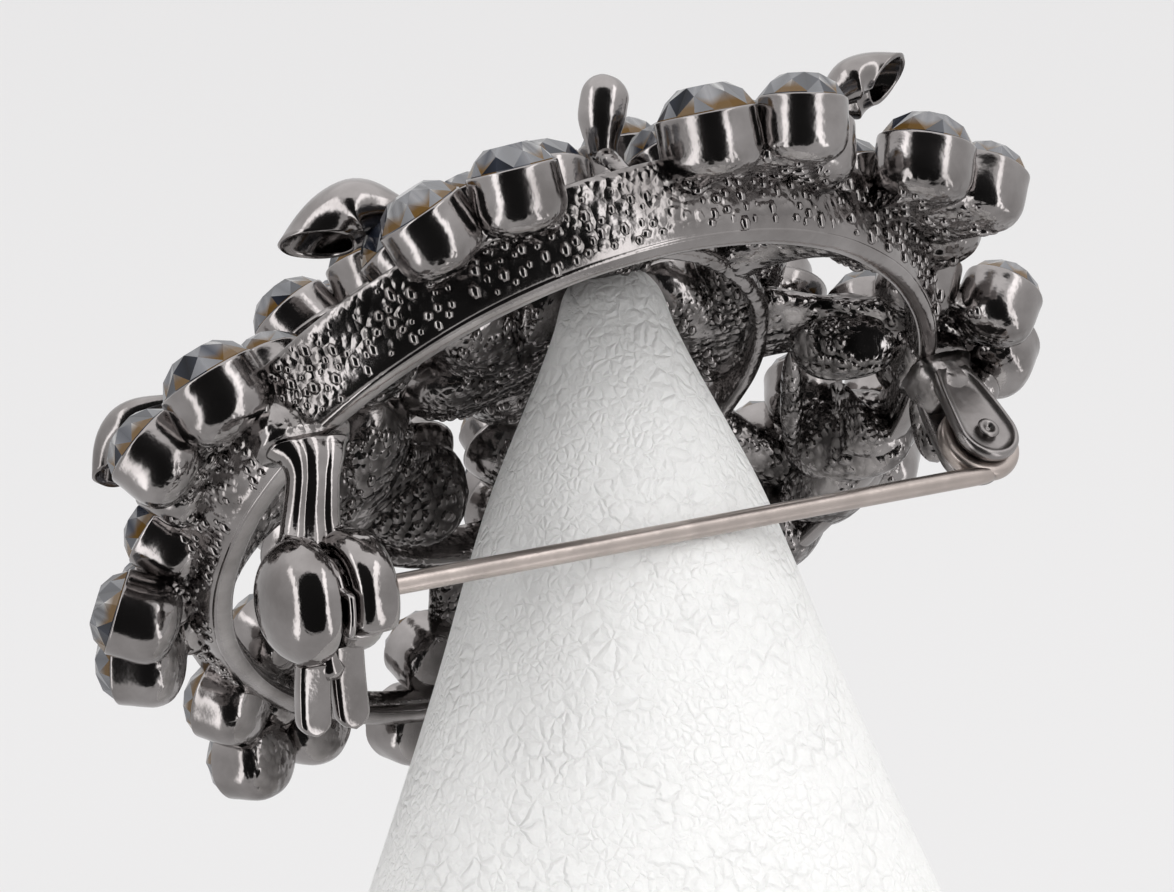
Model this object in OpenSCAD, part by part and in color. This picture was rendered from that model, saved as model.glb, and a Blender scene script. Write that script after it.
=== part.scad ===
// Flower brooch on a display cone.
// A cast wreath of small flowers set with faceted stones, seen from its back,
// with a hinged pin stem and a roll-over catch. It rests on the tip of a plain cone.
// Millimetres. The part stands on z = 0, and the cone's base centre is the origin.

/* [Back band] */
// Inside diameter of the round back band
band_inner_d = 37.2; // [36.8:0.2:37.6]
// Width of the band's flat back face
band_face_w = 1.5; // [1.3:0.1:1.6]
// Height of the flared skirt behind the outer flowers
skirt_h = 3.4; // [3:0.2:3.8]
// Inside diameter of the raised inner band
inner_band_d = 24.4; // [24:0.2:25]

/* [Flowers] */
// Distance from a flower's centre to its petal stones
petal_reach = 3.9; // [3.8:0.05:4]
// Outward lean of each petal from its flower's axis
petal_lean = 16; // [12:1:18]
// Drop of the petal stones below the flower's centre
petal_drop = 0.5; // [0.3:0.1:0.7]
// Depth of an outer flower's stone cup
cup_depth = 2.9; // [2.6:0.1:3]
// Depth of an inner flower's stone cup
inner_cup_depth = 2.5; // [2.3:0.1:2.7]

/* [Stones] */
// Diameter of the large petal stones
large_stone_d = 4.1; // [4:0.05:4.2]
// Diameter of the other petal stones
small_stone_d = 3.5; // [3.3:0.05:3.6]
// Diameter of a flower's centre stone
centre_stone_d = 2.5; // [2.2:0.1:2.6]
// Gap between a stone and its cup
stone_gap = 0.11; // [0.1:0.01:0.13]
// Wall of a stone cup at its lip
cup_wall = 0.22; // [0.2:0.01:0.26]

/* [Pin and catch] */
// Diameter of the pin stem
stem_d = 1; // [0.9:0.05:1.05]
// Distance from the catch to the foot of the hinge, along the stem
stem_span = 38.3; // [38:0.1:38.6]
// Depth of the stem below the back plane
stem_depth = 6.8; // [6.7:0.05:7]
// Outside radius of the catch's round cheeks
cheek_r = 2.95; // [2.8:0.05:3]
// Length of the catch lever's thumb tab past the cheeks
tab_len = 3.1; // [2.6:0.1:3.3]

/* [Cone] */
// Height of the display cone
cone_h = 46; // [45.6:0.1:46]
// Radius of the display cone's base
cone_base_r = 20.3; // [19.5:0.1:21]

/* [Hidden] */
// Place of the brooch: the back band's centre, and its turn about X, Y and Z
brooch_at = [-2, -0.4, 34.2];
brooch_turn = [-33, -25, 0.5];

// Columns of a flower's row: turn round the wreath, reach from the centre, lift above the
// back plane, outward lean, spin of the petals, and which petal holds the large stone
TURN = 0;
REACH = 1;
LIFT = 2;
LEAN = 3;
SPIN = 4;
LARGE = 5;
outer_flowers = [
    [-130, 21.3, 5.4, 19, -13, 1],
    [-84, 20.7, 5.9, 24, -37, 2],
    [-45.5, 21.8, 5.5, 22, 9.5, 4],
    [-12.5, 22.7, 5, 25, 15, 4],
    [17, 22.4, 3.8, 34, -38, 1],
    [51, 21.4, 6, 27, 0, 0],
    [88, 21.2, 3, 35, 0, 0],
    [125, 21.4, 3, 35, 0, 0],
    [162, 21.6, 3, 38, 0, 0],
    [-161, 22.6, 3.7, 45, -34, 0]
];
inner_flowers = [
    [-50, 11.8, 11.2, 12, 0, 0],
    [-122, 11.8, 11.2, 12, 0, 0],
    [166, 11.8, 11.2, 12, 0, 0],
    [94, 11.8, 11.2, 12, 0, 0],
    [22, 11.8, 11.2, 12, 0, 0]
];
middle_flower = [0, 0, 12.6, 0, 36, 0];
all_flowers = concat(outer_flowers, inner_flowers, [middle_flower]);
PETALS = 5;

// Columns of a leaf's row: root, bend and tip in the brooch's frame, the direction that its
// rounded side faces, and its greatest width
ROOT = 0;
BEND = 1;
TIP = 2;
FACE = 3;
LEAF_W = 4;
leaves = [
    [[-14.8, -15.4, 6.8], [-18.8, -14, 7.9], [-20.4, -11.9, 6.2], [-0.5, -0.2, 0.85], 2.8],
    [[-1.2, -21, 7], [-3.6, -20.6, 9.6], [-7, -19.6, 8], [-0.4, -0.1, 0.9], 3.4],
    [[8.2, -16.6, 4.2], [9.2, -18.6, 8.4], [11.2, -16.4, 10.8], [0, 0.9, -0.3], 2.4],
    [[20.2, -10.6, 6.2], [22, -11, 9], [24.2, -9.2, 7.6], [-0.3, -0.2, 0.9], 2.8],
    [[-7.2, 22.2, 4.6], [-8.4, 24.6, 5.6], [-9.8, 26.2, 3.6], [-0.2, 0.4, 0.9], 2.8],
    [[-20.2, 15.8, 4.2], [-22.4, 17.4, 5.2], [-24.4, 18.4, 3], [-0.4, 0.3, 0.9], 2.8]
];
leaf_t = 0.45;

// Crown, table and pavilion of a cut stone as shares of its diameter
table_share = 0.56;
crown_share = 0.31;
pavilion_share = 0.4;
facets = 8;

lip_z = -0.1;
cup_sides = 8;
core_w = 4.8;
core_end_r = 2.2;
web_t = 1.4;
band_outer_r = band_inner_d / 2 + band_face_w;

// The catch's centre is the stem frame's origin: x runs along the stem to the hinge,
// z towards the front of the brooch
catch_at = [-12.05, -16, -stem_depth];
stem_turn = 35.6;
cheek_tube_r = 0.95;
cheek_half_w = 1.15;
cheek_at = 1.5;
lever_r = 2.4;
lever_t = 0.5;
lever_bore_r = 0.72;
hub_r = 0.95;
hub_len = 3.2;
run_gap = 0.1;
mouth_w = 1.5;
tab_turn = 48;
seat_gap = 0.05;
neck_turn = [30, 16, 0];
neck_top = [1.1, -2.3];
hinge_rise = 1.9;
drum_r = 1.35;
eye_r = 2.4;
ear_gap = 0.12;
ear_t = 0.7;
journal_r = 0.45;
ear_r = 2.15;

cone_tip_r = 2.9;
cone_shoulder = [5.65, 8.9];
cone_waist = [8.2, 15];

STONE_NAMES = [
    for (f = [0 : len(outer_flowers) - 1]) for (p = main_petals(f)) str("stone_", f + 1, "_", p + 1)
];

// The petals of an outer flower, apart from the one nearest the brooch's middle
function petal_angle(f, p) = f[SPIN] + p * 360 / PETALS;
function inwardness(f) = [for (p = [0 : PETALS - 1]) -cos(petal_angle(f, p))];
function inmost(f) = [for (p = [0 : PETALS - 1]) if (inwardness(f)[p] == max(inwardness(f))) p][0];
function main_petals(n) = [for (p = [0 : PETALS - 1]) if (p != inmost(outer_flowers[n])) p];
function stone_d(f, p) = p == f[LARGE] ? large_stone_d : small_stone_d;

module in_brooch() {
    translate(brooch_at) rotate(brooch_turn) children();
}

module in_stem_frame() {
    in_brooch() translate(catch_at) rotate([0, 0, stem_turn]) children();
}

module at_flower(f) {
    rotate([0, 0, f[TURN]]) translate([f[REACH], 0, f[LIFT]]) rotate([0, f[LEAN], 0]) children();
}

module at_petal(f, p) {
    at_flower(f) rotate([0, 0, petal_angle(f, p)])
        translate([petal_reach, 0, -petal_drop]) rotate([0, petal_lean, 3 + 7 * p]) children();
}

// A cut stone: flat table, crown facets, and a pavilion down to a point
module stone(d) {
    ring = [for (i = [0 : facets - 1]) i * 360 / facets];
    table_r = d / 2 * table_share;
    points = concat(
        [for (a = ring) [table_r * cos(a), table_r * sin(a), d * crown_share]],
        [for (a = ring) [d / 2 * cos(a), d / 2 * sin(a), 0]],
        [[0, 0, -d * pavilion_share]]
    );
    next = function(i) (i + 1) % facets;
    faces = concat(
        [[for (i = [facets - 1 : -1 : 0]) i]],
        [for (i = [0 : facets - 1]) [i, next(i), facets + next(i), facets + i]],
        [for (i = [0 : facets - 1]) [facets + i, facets + next(i), 2 * facets]]
    );
    polyhedron(points, faces);
}

// A cup for a stone before its seat is cut: straight wall and conical back
module cup(d, depth) {
    r = d / 2 + stone_gap + cup_wall;
    rotate_extrude($fn = cup_sides)
        polygon([[0, lip_z], [r, lip_z], [r, -depth * 0.62], [0, -depth]]);
}

// The room cut for a stone, a little larger than the stone all round
module seat(d) {
    r = d / 2 + stone_gap;
    foot = -d * (pavilion_share + 0.08);
    past = 1.05;
    top = d * crown_share + 0.15;
    rotate_extrude($fn = cup_sides)
        polygon([
            [0, foot], [r * past, foot + (lip_z - foot) * past], [r * past, 0.25],
            [d / 2 * table_share + 0.25, top], [0, top]
        ]);
}

// The metal behind a flower: a tapered five-sided back under a five-sided middle cup
module core(depth) {
    cup_r = (centre_stone_d / 2 + stone_gap + cup_wall) / cos(180 / PETALS);
    rotate_extrude($fn = PETALS)
        polygon([
            [0, lip_z], [cup_r, lip_z], [cup_r, -1.3], [core_w, -1.5], [core_end_r, -depth], [0, -depth]
        ]);
}

module flower(f, depth) {
    at_flower(f) rotate([0, 0, f[SPIN] + 20]) core(depth);
    for (p = [0 : PETALS - 1]) at_petal(f, p) cup(stone_d(f, p), depth);
}

module seats(f) {
    at_flower(f) rotate([0, 0, f[SPIN]]) seat(centre_stone_d);
    for (p = [0 : PETALS - 1]) at_petal(f, p) seat(stone_d(f, p));
}

module back_band() {
    r = band_inner_d / 2;
    rotate_extrude($fn = 40)
        polygon([
            [r, 0], [band_outer_r, 0], [band_outer_r + 0.5, 0.7], [band_outer_r + 1.6, skirt_h],
            [r + 0.5, skirt_h - 0.6], [r - 0.4, 1.5]
        ]);
}

module inner_band() {
    r = inner_band_d / 2;
    rotate_extrude($fn = 24)
        polygon([[r, 5.3], [r + 0.9, 5.3], [r + 1, 7.4], [r + 0.1, 7.4]]);
}

// The root of an outer flower, from its core down to the skirt of the band
module flower_root(f) {
    hull() {
        at_flower(f) translate([0, 0, -cup_depth + 0.2]) cube([2.2, 2.6, 0.8], center = true);
        rotate([0, 0, f[TURN]]) translate([band_outer_r + 0.2, 0, 1.9]) cube([0.8, 6.4, 1.6], center = true);
    }
}

// A radial web of the cast back between two places given as [radius, height]
module web(turn, from, to, width) {
    reach = norm(to - from);
    slope = atan2(to[1] - from[1], to[0] - from[0]);
    rotate([0, 0, turn]) translate([from[0], 0, from[1]]) rotate([0, -slope, 0])
        translate([reach / 2, 0, 0]) cube([reach + 1, width, web_t], center = true);
}

// A curled leaf: an open half tube that widens and closes to a rounded tip along a curve
module leaf(l) {
    steps = 3;
    across = 3;
    spread = 105;
    outer = [for (i = [0 : steps]) for (j = [0 : across]) curl_point(l, i / steps, j / across, spread, 0)];
    inner = [for (i = [0 : steps]) for (j = [0 : across]) curl_point(l, i / steps, j / across, spread, leaf_t)];
    row = across + 1;
    n = len(outer);
    polyhedron(
        concat(outer, inner),
        concat(
            [for (i = [0 : steps - 1]) for (j = [0 : across - 1]) each split(at(i, j, row, 0), at(i, j + 1, row, 0),
                at(i + 1, j + 1, row, 0), at(i + 1, j, row, 0))],
            [for (i = [0 : steps - 1]) for (j = [0 : across - 1]) each split(at(i, j, row, n), at(i + 1, j, row, n),
                at(i + 1, j + 1, row, n), at(i, j + 1, row, n))],
            [for (i = [0 : steps - 1]) each split(at(i, 0, row, 0), at(i + 1, 0, row, 0),
                at(i + 1, 0, row, n), at(i, 0, row, n))],
            [for (i = [0 : steps - 1]) each split(at(i, across, row, 0), at(i, across, row, n),
                at(i + 1, across, row, n), at(i + 1, across, row, 0))],
            [for (j = [0 : across - 1]) each split(at(0, j, row, 0), at(0, j, row, n),
                at(0, j + 1, row, n), at(0, j + 1, row, 0))],
            [for (j = [0 : across - 1]) each split(at(steps, j, row, 0), at(steps, j + 1, row, 0),
                at(steps, j + 1, row, n), at(steps, j, row, n))]
        )
    );
}

// The stalk that joins a leaf to the skirt of the band
module stalk(l) {
    root = l[ROOT];
    hull() {
        translate(root + [0, 0, 0.4]) cube(1.1, center = true);
        rotate([0, 0, atan2(root[1], root[0])]) translate([band_outer_r + 0.5, 0, 2.4]) cube([0.8, 1.8, 1], center = true);
    }
}

function at(i, j, row, offset) = i * row + j + offset;
function split(a, b, c, d) = [[c, b, a], [d, c, a]];
function unit(v) = v / norm(v);
function curve(l, t) = (1 - t) * (1 - t) * l[ROOT] + 2 * t * (1 - t) * l[BEND] + t * t * l[TIP];
function heading(l, t) = unit((1 - t) * (l[BEND] - l[ROOT]) + t * (l[TIP] - l[BEND]));
function curl_side(l, t) = unit(cross(heading(l, t), l[FACE]));
function curl_up(l, t) = cross(curl_side(l, t), heading(l, t));
function curl_width(l, t) = l[LEAF_W] / 2 * (0.5 + 0.5 * sin(180 * min(1, t * 1.15)) * (1 - 0.15 * t));
function curl_point(l, t, s, spread, inset) =
    let (
        a = (s - 0.5) * 2 * spread,
        r = curl_width(l, t) - inset
    )
    curve(l, t) + curl_side(l, t) * r * sin(a) + curl_up(l, t) * r * (cos(a) - 0.4);

module casting() {
    color("dimgray") in_brooch() difference() {
        union() {
            back_band();
            inner_band();
            catch_pad();
            hinge_pad();
            for (f = outer_flowers) outer_flower(f);
            for (f = inner_flowers) inner_flower(f);
            flower(middle_flower, inner_cup_depth);
            for (l = leaves) {
                leaf(l);
                stalk(l);
            }
        }
        for (f = all_flowers) seats(f);
        at_hinge() translate([0, 0, -2]) cube([6, 6, 4], center = true);
    }
}

module outer_flower(f) {
    flower(f, cup_depth);
    flower_root(f);
}

// A raised flower with its webs to the inner band, to the back band and to the middle, where the webs start at
// slightly different heights so that no two of them meet in one point
module inner_flower(f) {
    flower(f, inner_cup_depth);
    web(f[TURN] + 2, [inner_band_d / 2 + 0.6, 6.53], [f[REACH] - 0.5, f[LIFT] - 2.37], 4);
    web(f[TURN] + 34, [inner_band_d / 2 + 0.5, 6.15], [band_inner_d / 2 + 0.6, 2.1], 2.9);
    web(f[TURN] + 5, [1.3, 10.35 + f[TURN] / 700], [f[REACH] - 1.7, f[LIFT] - 1.2], 2);
}

// Thickened places of the band that the catch and the hinge stand on
module catch_pad() {
    translate([catch_at[0], catch_at[1], 0]) rotate([0, 0, stem_turn]) translate([neck_top[0], neck_top[1], 0])
        linear_extrude(2.4) square([4.6, 2.8], center = true);
}

module at_hinge() {
    translate([catch_at[0], catch_at[1], 0]) rotate([0, 0, stem_turn]) translate([stem_span, 0, 0]) children();
}

module hinge_pad() {
    at_hinge() linear_extrude(2.4) square([3.6, 3.4], center = true);
}

// Fixed half of the catch: two round cheeks on a leaning neck, with a mouth for the stem
module catch_housing() {
    color("gray") in_stem_frame() difference() {
        union() {
            for (side = [-1, 1]) translate([side * cheek_at, 0, 0]) rotate([0, 90, 0])
                cheek();
            catch_bridge();
            catch_neck();
        }
        translate([0, 0, -cheek_r]) cube([8, mouth_w, 2 * cheek_r], center = true);
    }
}

// One cheek: a ring with a fat oval section
module cheek() {
    rotate_extrude($fn = 48) translate([cheek_r - cheek_tube_r, 0])
        scale([1, cheek_half_w / cheek_tube_r]) circle(r = cheek_tube_r, $fn = 24);
}

// Saddle over the lever that ties the two cheeks together
module catch_bridge() {
    intersection() {
        rotate([0, 90, 0]) difference() {
            cylinder(r = cheek_r, h = 2 * cheek_at, center = true, $fn = 48);
            cylinder(r = lever_r + run_gap, h = 8, center = true, $fn = 48);
        }
        translate([-4, -2, 1.2]) cube([8, 4, 4]);
    }
}

// Fluted neck: three ribs side by side, leaning out to the band
module catch_neck() {
    intersection() {
        translate([neck_top[0], neck_top[1], stem_depth]) rotate(neck_turn)
            for (rib = [-1 : 1]) translate([rib * 1.05, 0, -4.2]) cylinder(r = 0.85, h = 8, center = true, $fn = 24);
        translate([-5, -6, 2.6]) cube([10, 9, stem_depth - seat_gap - 2.6]);
    }
}

// Turning half of the catch: a split disc on a hub with a forked thumb tab
module catch_lever() {
    color("lightgray") in_stem_frame() difference() {
        union() {
            rotate([0, 90, 0]) cylinder(r = lever_r, h = lever_t, center = true, $fn = 48);
            rotate([0, 90, 0]) cylinder(r = hub_r, h = hub_len, center = true, $fn = 48);
            rotate([tab_turn, 0, 0]) thumb_tab();
        }
        rotate([0, 90, 0]) cylinder(r = lever_bore_r, h = 8, center = true, $fn = 48);
        translate([0, 0, -cheek_r]) cube([8, mouth_w, 2 * cheek_r], center = true);
        lever_opening();
    }
}

// The open side of the split disc, outside the hub
module lever_opening() {
    difference() {
        translate([-4, -4, -4]) cube([8, 4, 5]);
        rotate([0, 90, 0]) cylinder(r = hub_r, h = 9, center = true, $fn = 48);
    }
}

module thumb_tab() {
    translate([-lever_t / 2, -0.5, -cheek_r - 0.6]) cube([lever_t, 1, 1.4]);
    for (side = [-1, 1]) translate([side * 0.3, 0, -cheek_r - 0.35]) rotate([0, -side * 7, 0])
        translate([side * 0.45, 0, 0]) tab_leaf();
}

module tab_leaf() {
    w = 1.45;
    translate([0, 0.4, 0]) rotate([90, 0, 0]) linear_extrude(0.8)
        union() {
            translate([-w / 2, -tab_len + w / 2]) square([w, tab_len - w / 2]);
            translate([0, -tab_len + w / 2]) circle(r = w / 2, $fn = 24);
        }
}

// Two ears with a bridge that stands on the band and holds the rivet
module hinge_bracket() {
    color("gray") in_stem_frame() difference() {
        union() {
            for (side = [-1, 1]) translate([stem_span, side * (stem_d / 2 + ear_gap + ear_t / 2), 0])
                rotate([90, 0, 0]) ear_plate();
            translate([stem_span - 1.5, -stem_d / 2 - ear_gap - ear_t / 2, stem_depth - 2])
                cube([3, stem_d + 2 * ear_gap + ear_t, 2 - seat_gap]);
        }
        translate([stem_span, 0, hinge_rise]) rotate([90, 0, 0]) cylinder(r = journal_r + 0.05, h = 8, center = true, $fn = 32);
    }
}

module ear_plate() {
    linear_extrude(ear_t, center = true) {
        translate([0, hinge_rise]) circle(r = ear_r, $fn = 40);
        translate([-1.6, hinge_rise]) square([3.2, stem_depth - hinge_rise - seat_gap]);
    }
}

// Drum that the stem's eye turns on, with a thin journal through each ear
module hinge_rivet() {
    color("silver") in_stem_frame() translate([stem_span, 0, hinge_rise]) rotate([90, 0, 0]) {
        cylinder(r = drum_r, h = stem_d, center = true, $fn = 40);
        difference() {
            cylinder(r = journal_r, h = stem_d + 2 * (ear_gap + ear_t) + 0.3, center = true, $fn = 32);
            for (side = [0, 1]) mirror([0, 0, side])
                translate([0, 0, stem_d / 2 + ear_gap + ear_t]) cylinder(r = journal_r * 0.5, h = 1, $fn = 24);
        }
    }
}

// Straight wire with a ground point in the catch and an eye round the rivet
module pin_stem() {
    color("rosybrown") in_stem_frame() {
        rotate([0, 90, 0]) translate([0, 0, 1]) cylinder(r = stem_d / 2, h = stem_span - 1, $fn = 32);
        rotate([0, 90, 0]) translate([0, 0, -0.6]) cylinder(r1 = 0.15, r2 = stem_d / 2, h = 1.6, $fn = 32);
        translate([stem_span, 0, hinge_rise]) rotate([90, 0, 0]) difference() {
            cylinder(r = eye_r, h = stem_d, center = true, $fn = 48);
            cylinder(r = drum_r + 0.07, h = 4, center = true, $fn = 48);
        }
    }
}

module display_cone() {
    arc = [for (a = [90 : -15 : 30]) [cone_tip_r * cos(a), cone_h - cone_tip_r + cone_tip_r * sin(a)]];
    color("whitesmoke") rotate_extrude($fn = 96)
        polygon(concat(
            [[0, 0]], arc,
            [[cone_shoulder[0], cone_h - cone_shoulder[1]], [cone_waist[0], cone_h - cone_waist[1]], [cone_base_r, 0]]
        ));
}

module petal_stone(n, p) {
    f = outer_flowers[n];
    color("slategray") in_brooch() at_petal(f, p) stone(stone_d(f, p));
}

// Petal stones of the raised flowers, and the petal of each outer flower nearest the middle
module inner_stones() {
    color("slategray") in_brooch() {
        for (f = concat(inner_flowers, [middle_flower])) for (p = [0 : PETALS - 1]) at_petal(f, p) stone(stone_d(f, p));
        for (f = outer_flowers) at_petal(f, inmost(f)) stone(stone_d(f, inmost(f)));
    }
}

module centre_stones() {
    color("slategray") in_brooch() for (f = all_flowers)
        at_flower(f) rotate([0, 0, f[SPIN]]) stone(centre_stone_d);
}

casting();
catch_housing();
catch_lever();
hinge_bracket();
hinge_rivet();
pin_stem();
display_cone();
inner_stones();
centre_stones();
for (n = [0 : len(outer_flowers) - 1]) for (p = main_petals(n))
    petal_stone(n, p);
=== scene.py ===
"""Flower brooch on its display cone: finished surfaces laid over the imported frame.

The shape functions work in millimetres and degrees, and a mesh is written in metres.
Row frame: z up, x right in the photograph, the camera at negative y.
"""

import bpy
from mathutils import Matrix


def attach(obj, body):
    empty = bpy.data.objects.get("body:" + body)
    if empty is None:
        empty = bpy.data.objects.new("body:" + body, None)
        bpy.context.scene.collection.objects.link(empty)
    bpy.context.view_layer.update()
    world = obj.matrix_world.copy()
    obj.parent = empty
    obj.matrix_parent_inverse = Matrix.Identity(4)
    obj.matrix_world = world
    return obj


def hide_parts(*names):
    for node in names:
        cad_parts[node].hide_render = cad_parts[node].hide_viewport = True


bl_info = {
    "name": "Flower Brooch",
    "version": (1, 0, 0),
    "blender": (4, 5, 0),
    "location": "3D View > Sidebar > Brooch",
    "description": "Builds the finished surfaces of a cast flower brooch on its display cone",
    "category": "Object",
}

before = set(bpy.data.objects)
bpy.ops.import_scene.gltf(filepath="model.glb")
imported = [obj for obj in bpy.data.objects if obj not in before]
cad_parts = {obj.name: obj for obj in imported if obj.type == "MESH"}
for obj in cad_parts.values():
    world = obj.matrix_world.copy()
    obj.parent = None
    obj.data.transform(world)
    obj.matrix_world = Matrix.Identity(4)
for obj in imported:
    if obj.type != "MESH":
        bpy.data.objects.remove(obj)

import bpy
import numpy as np
from mathutils import Matrix, Vector

RIGID = "brooch_on_cone"

# Metres in a millimetre
MM = 0.001

# The brooch's place and turn, and the stem's place and turn in the brooch
BROOCH_AT = (-2.0, -0.4, 34.2)
BROOCH_TURN = (-33.0, -25.0, 0.5)
CATCH_AT = (-12.05, -16.0, -6.8)
STEM_TURN = 35.6

# Flowers: turn, reach, lift, lean, spin, number of the large petal or 0
OUTER_FLOWERS = (
    (-130.0, 21.3, 5.4, 19.0, -13.0, 1),
    (-84.0, 20.7, 5.9, 24.0, -37.0, 2),
    (-45.5, 21.8, 5.5, 22.0, 9.5, 4),
    (-12.5, 22.7, 5.0, 25.0, 15.0, 4),
    (17.0, 22.4, 3.8, 34.0, -38.0, 1),
    (51.0, 21.4, 6.0, 27.0, 0.0, 0),
    (88.0, 21.2, 3.0, 35.0, 0.0, 0),
    (125.0, 21.4, 3.0, 35.0, 0.0, 0),
    (162.0, 21.6, 3.0, 38.0, 0.0, 0),
    (-161.0, 22.6, 3.7, 45.0, -34.0, 0),
)
INNER_REACH = 11.8
INNER_LIFT = 11.2
INNER_FLOWERS = tuple(
    (turn, INNER_REACH, INNER_LIFT, 12.0, 0.0, 0) for turn in (-50.0, -122.0, 166.0, 94.0, 22.0)
)
MIDDLE_FLOWER = (0.0, 0.0, 12.6, 0.0, 36.0, 0)
RAISED_FLOWERS = INNER_FLOWERS + (MIDDLE_FLOWER,)

# Petals round a flower's middle, depths of the cups and backs, and the stones' sizes. A stone's girdle, its
# cup's wall and its cup's lip lie this far beyond half the stone's size.
PETALS = 5
PETAL_REACH = 3.9
PETAL_LEAN = 16.0
PETAL_DROP = 0.5
OUTER_DEPTH = 2.9
RAISED_CUP = 3.5
RAISED_BACK = 3.7
LARGE_STONE = 4.1
SMALL_STONE = 3.5
CENTRE_STONE = 2.5
STONE_OVERLAP = 0.3
CUP_WALL = 0.42
CUP_LIP = 0.05

# Flower backs: the rim lies at this depth and falls outwards by a share of its radius. The radius of the
# belly below it is a share of the rim's and some more, and its drop is a share of the back's depth.
RIM_DEPTH = 1.5
RIM_FALL = 0.29
BELLY_SHARE = 0.55
BELLY_MORE = 1.7
BELLY_DROP = 0.6

# Triangles of a stone's table, and the seed of the facets' values
TABLE_FACES = 6
STONE_SEED = 7

# Leaves: root, bend, tip, the way the rounded side faces, width, whether the tip is closed
LEAVES = (
    ((-14.7, -15.1, 7.0), (-17.8, -14.9, 8.4), (-19.5, -12.7, 6.5), (0.42, -0.1, 0.95), 2.5, False),
    ((-0.5, -20.2, 6.5), (-2.4, -20.3, 8.6), (-4.9, -20.3, 7.5), (0.46, -0.15, 0.95), 4.5, False),
    ((8.8, -17.5, 6.2), (9.5, -18.4, 7.8), (10.9, -18.5, 9.2), (0.0, -0.8, -0.5), 2.3, True),
    ((19.3, -11.1, 6.5), (21.3, -10.5, 7.6), (23.0, -10.1, 7.0), (0.3, 0.1, 1.0), 3.5, False),
    ((-6.9, 21.0, 4.4), (-7.9, 23.2, 6.0), (-9.1, 25.0, 4.4), (-0.2, 0.4, 0.9), 2.8, False),
    ((-17.2, 13.4, 4.4), (-19.2, 14.9, 6.0), (-21.2, 16.1, 4.4), (-0.4, 0.3, 0.9), 2.8, False),
)

# Webs beside each inner flower: turn from it, start and end as radius and height, half width, bow
WEBS = (
    (-5, (12.9, 6.25), (19.7, 2.7), 2.3, 0.15),
    (2, (12.8, 6.5), (INNER_REACH - 0.5, INNER_LIFT - 2.2), 1.9, 0.2),
    (34, (12.7, 6.15), (19.4, 2.0), 1.35, 0.5),
    (5, (0.6, 10.5), (INNER_REACH - 1.7, INNER_LIFT - 1.1), 1.05, 0.3),
)
WEB_HALF_HEIGHT = 0.75

# Cast lumps behind the flowers: start, end, half width, half height
LUMPS = (
    ((13.1, 4.6, 4.8), (18.6, 4.9, 2.4), 2.3, 1.3),
    ((13.1, 4.8, 4.4), (10.7, 11.4, 2.6), 0.6, 0.5),
    ((10.5, 12.9, 4.0), (17.0, 11.7, 0.4), 2.5, 1.4),
    ((-11.3, 2.9, 8.7), (-5.6, 5.4, 6.5), 3.0, 1.3),
    ((18.9, 7.1, -0.4), (21.7, 8.0, -1.9), 1.1, 0.8),
    ((18.3, 7.7, 0.4), (17.1, 10.1, -2.9), 1.0, 0.8),
)

# Height and swell of each row of the pads on the band and of the hinge's foot
PAD_ROWS = np.array([(0.02, 0.93), (0.3, 1.0), (1.2, 1.02), (2.2, 0.98), (2.6, 0.8)])
FOOT_ROWS = np.array([(4.6, 0.8), (5.6, 1.0), (6.3, 1.1), (6.75, 1.25)])

# Rows of beads on the skirt as radius and height, their mean radius, the share of beads that is kept, and
# the most beads on one flower's back
BEAD_ROWS = np.array([(20.4, 0.6), (20.68, 1.1), (20.95, 1.65), (21.2, 2.2), (21.45, 2.75), (21.6, 3.15)])
BEAD_ROW_RADIUS = 21
BEADS_KEPT = 0.78
MOST_BEADS = 260

# The hinge pin's place in the stem's frame, and the wire's radius
HINGE = (38.3, 0.0, 1.9)
WIRE_RADIUS = 0.5

# Roughness of the platings: the casting's, the catch's and the hinge's
PLATINGS = {"dark_plating": 0.10, "polished_plating": 0.06, "satin_plating": 0.2}

# Yellowish specks on the cone's cover: place and radius
SPECKS = (((4.4, -13.6, 24.4), 0.55), ((7.2, -12.1, 25.3), 0.7), ((9.6, -12.2, 22.6), 0.5))

# Camera: place in millimetres, its right, up and back axes, and lens and sensor width in millimetres
CAMERA_AT = (-1.5729, -162.7805, 48.6416)
CAMERA_AXES = (
    (0.998160, -0.003379, -0.060543),
    (0.060628, 0.072836, 0.995499),
    (0.001046, -0.997338, 0.072907),
)
CAMERA_LENS = 98.13
CAMERA_SENSOR = 36.0

# Floor in metres: the flat part's radius, which is also that of the rise round it
SWEEP = 0.9

# Faint tint of the surround and of the floor's glow
LIGHT_TINT = (1.0, 0.992, 0.995, 1)


def turned(x=0.0, y=0.0, z=0.0):
    """Frame that turns about x, then y, then z."""
    a, b, c = np.radians([x, y, z])
    about_x = np.array([[1, 0, 0], [0, np.cos(a), -np.sin(a)], [0, np.sin(a), np.cos(a)]])
    about_y = np.array([[np.cos(b), 0, np.sin(b)], [0, 1, 0], [-np.sin(b), 0, np.cos(b)]])
    about_z = np.array([[np.cos(c), -np.sin(c), 0], [np.sin(c), np.cos(c), 0], [0, 0, 1]])
    out = np.eye(4)
    out[:3, :3] = about_z @ about_y @ about_x
    return out


def shifted(x=0.0, y=0.0, z=0.0):
    """Frame that moves by x, y and z."""
    out = np.eye(4)
    out[:3, 3] = (x, y, z)
    return out


def placed(points, where):
    """Points of any grid shape, carried into a frame."""
    return np.asarray(points, float) @ where[:3, :3].T + where[:3, 3]


BROOCH = shifted(*BROOCH_AT) @ turned(*BROOCH_TURN)
STEM = BROOCH @ shifted(*CATCH_AT) @ turned(z=STEM_TURN)


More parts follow.
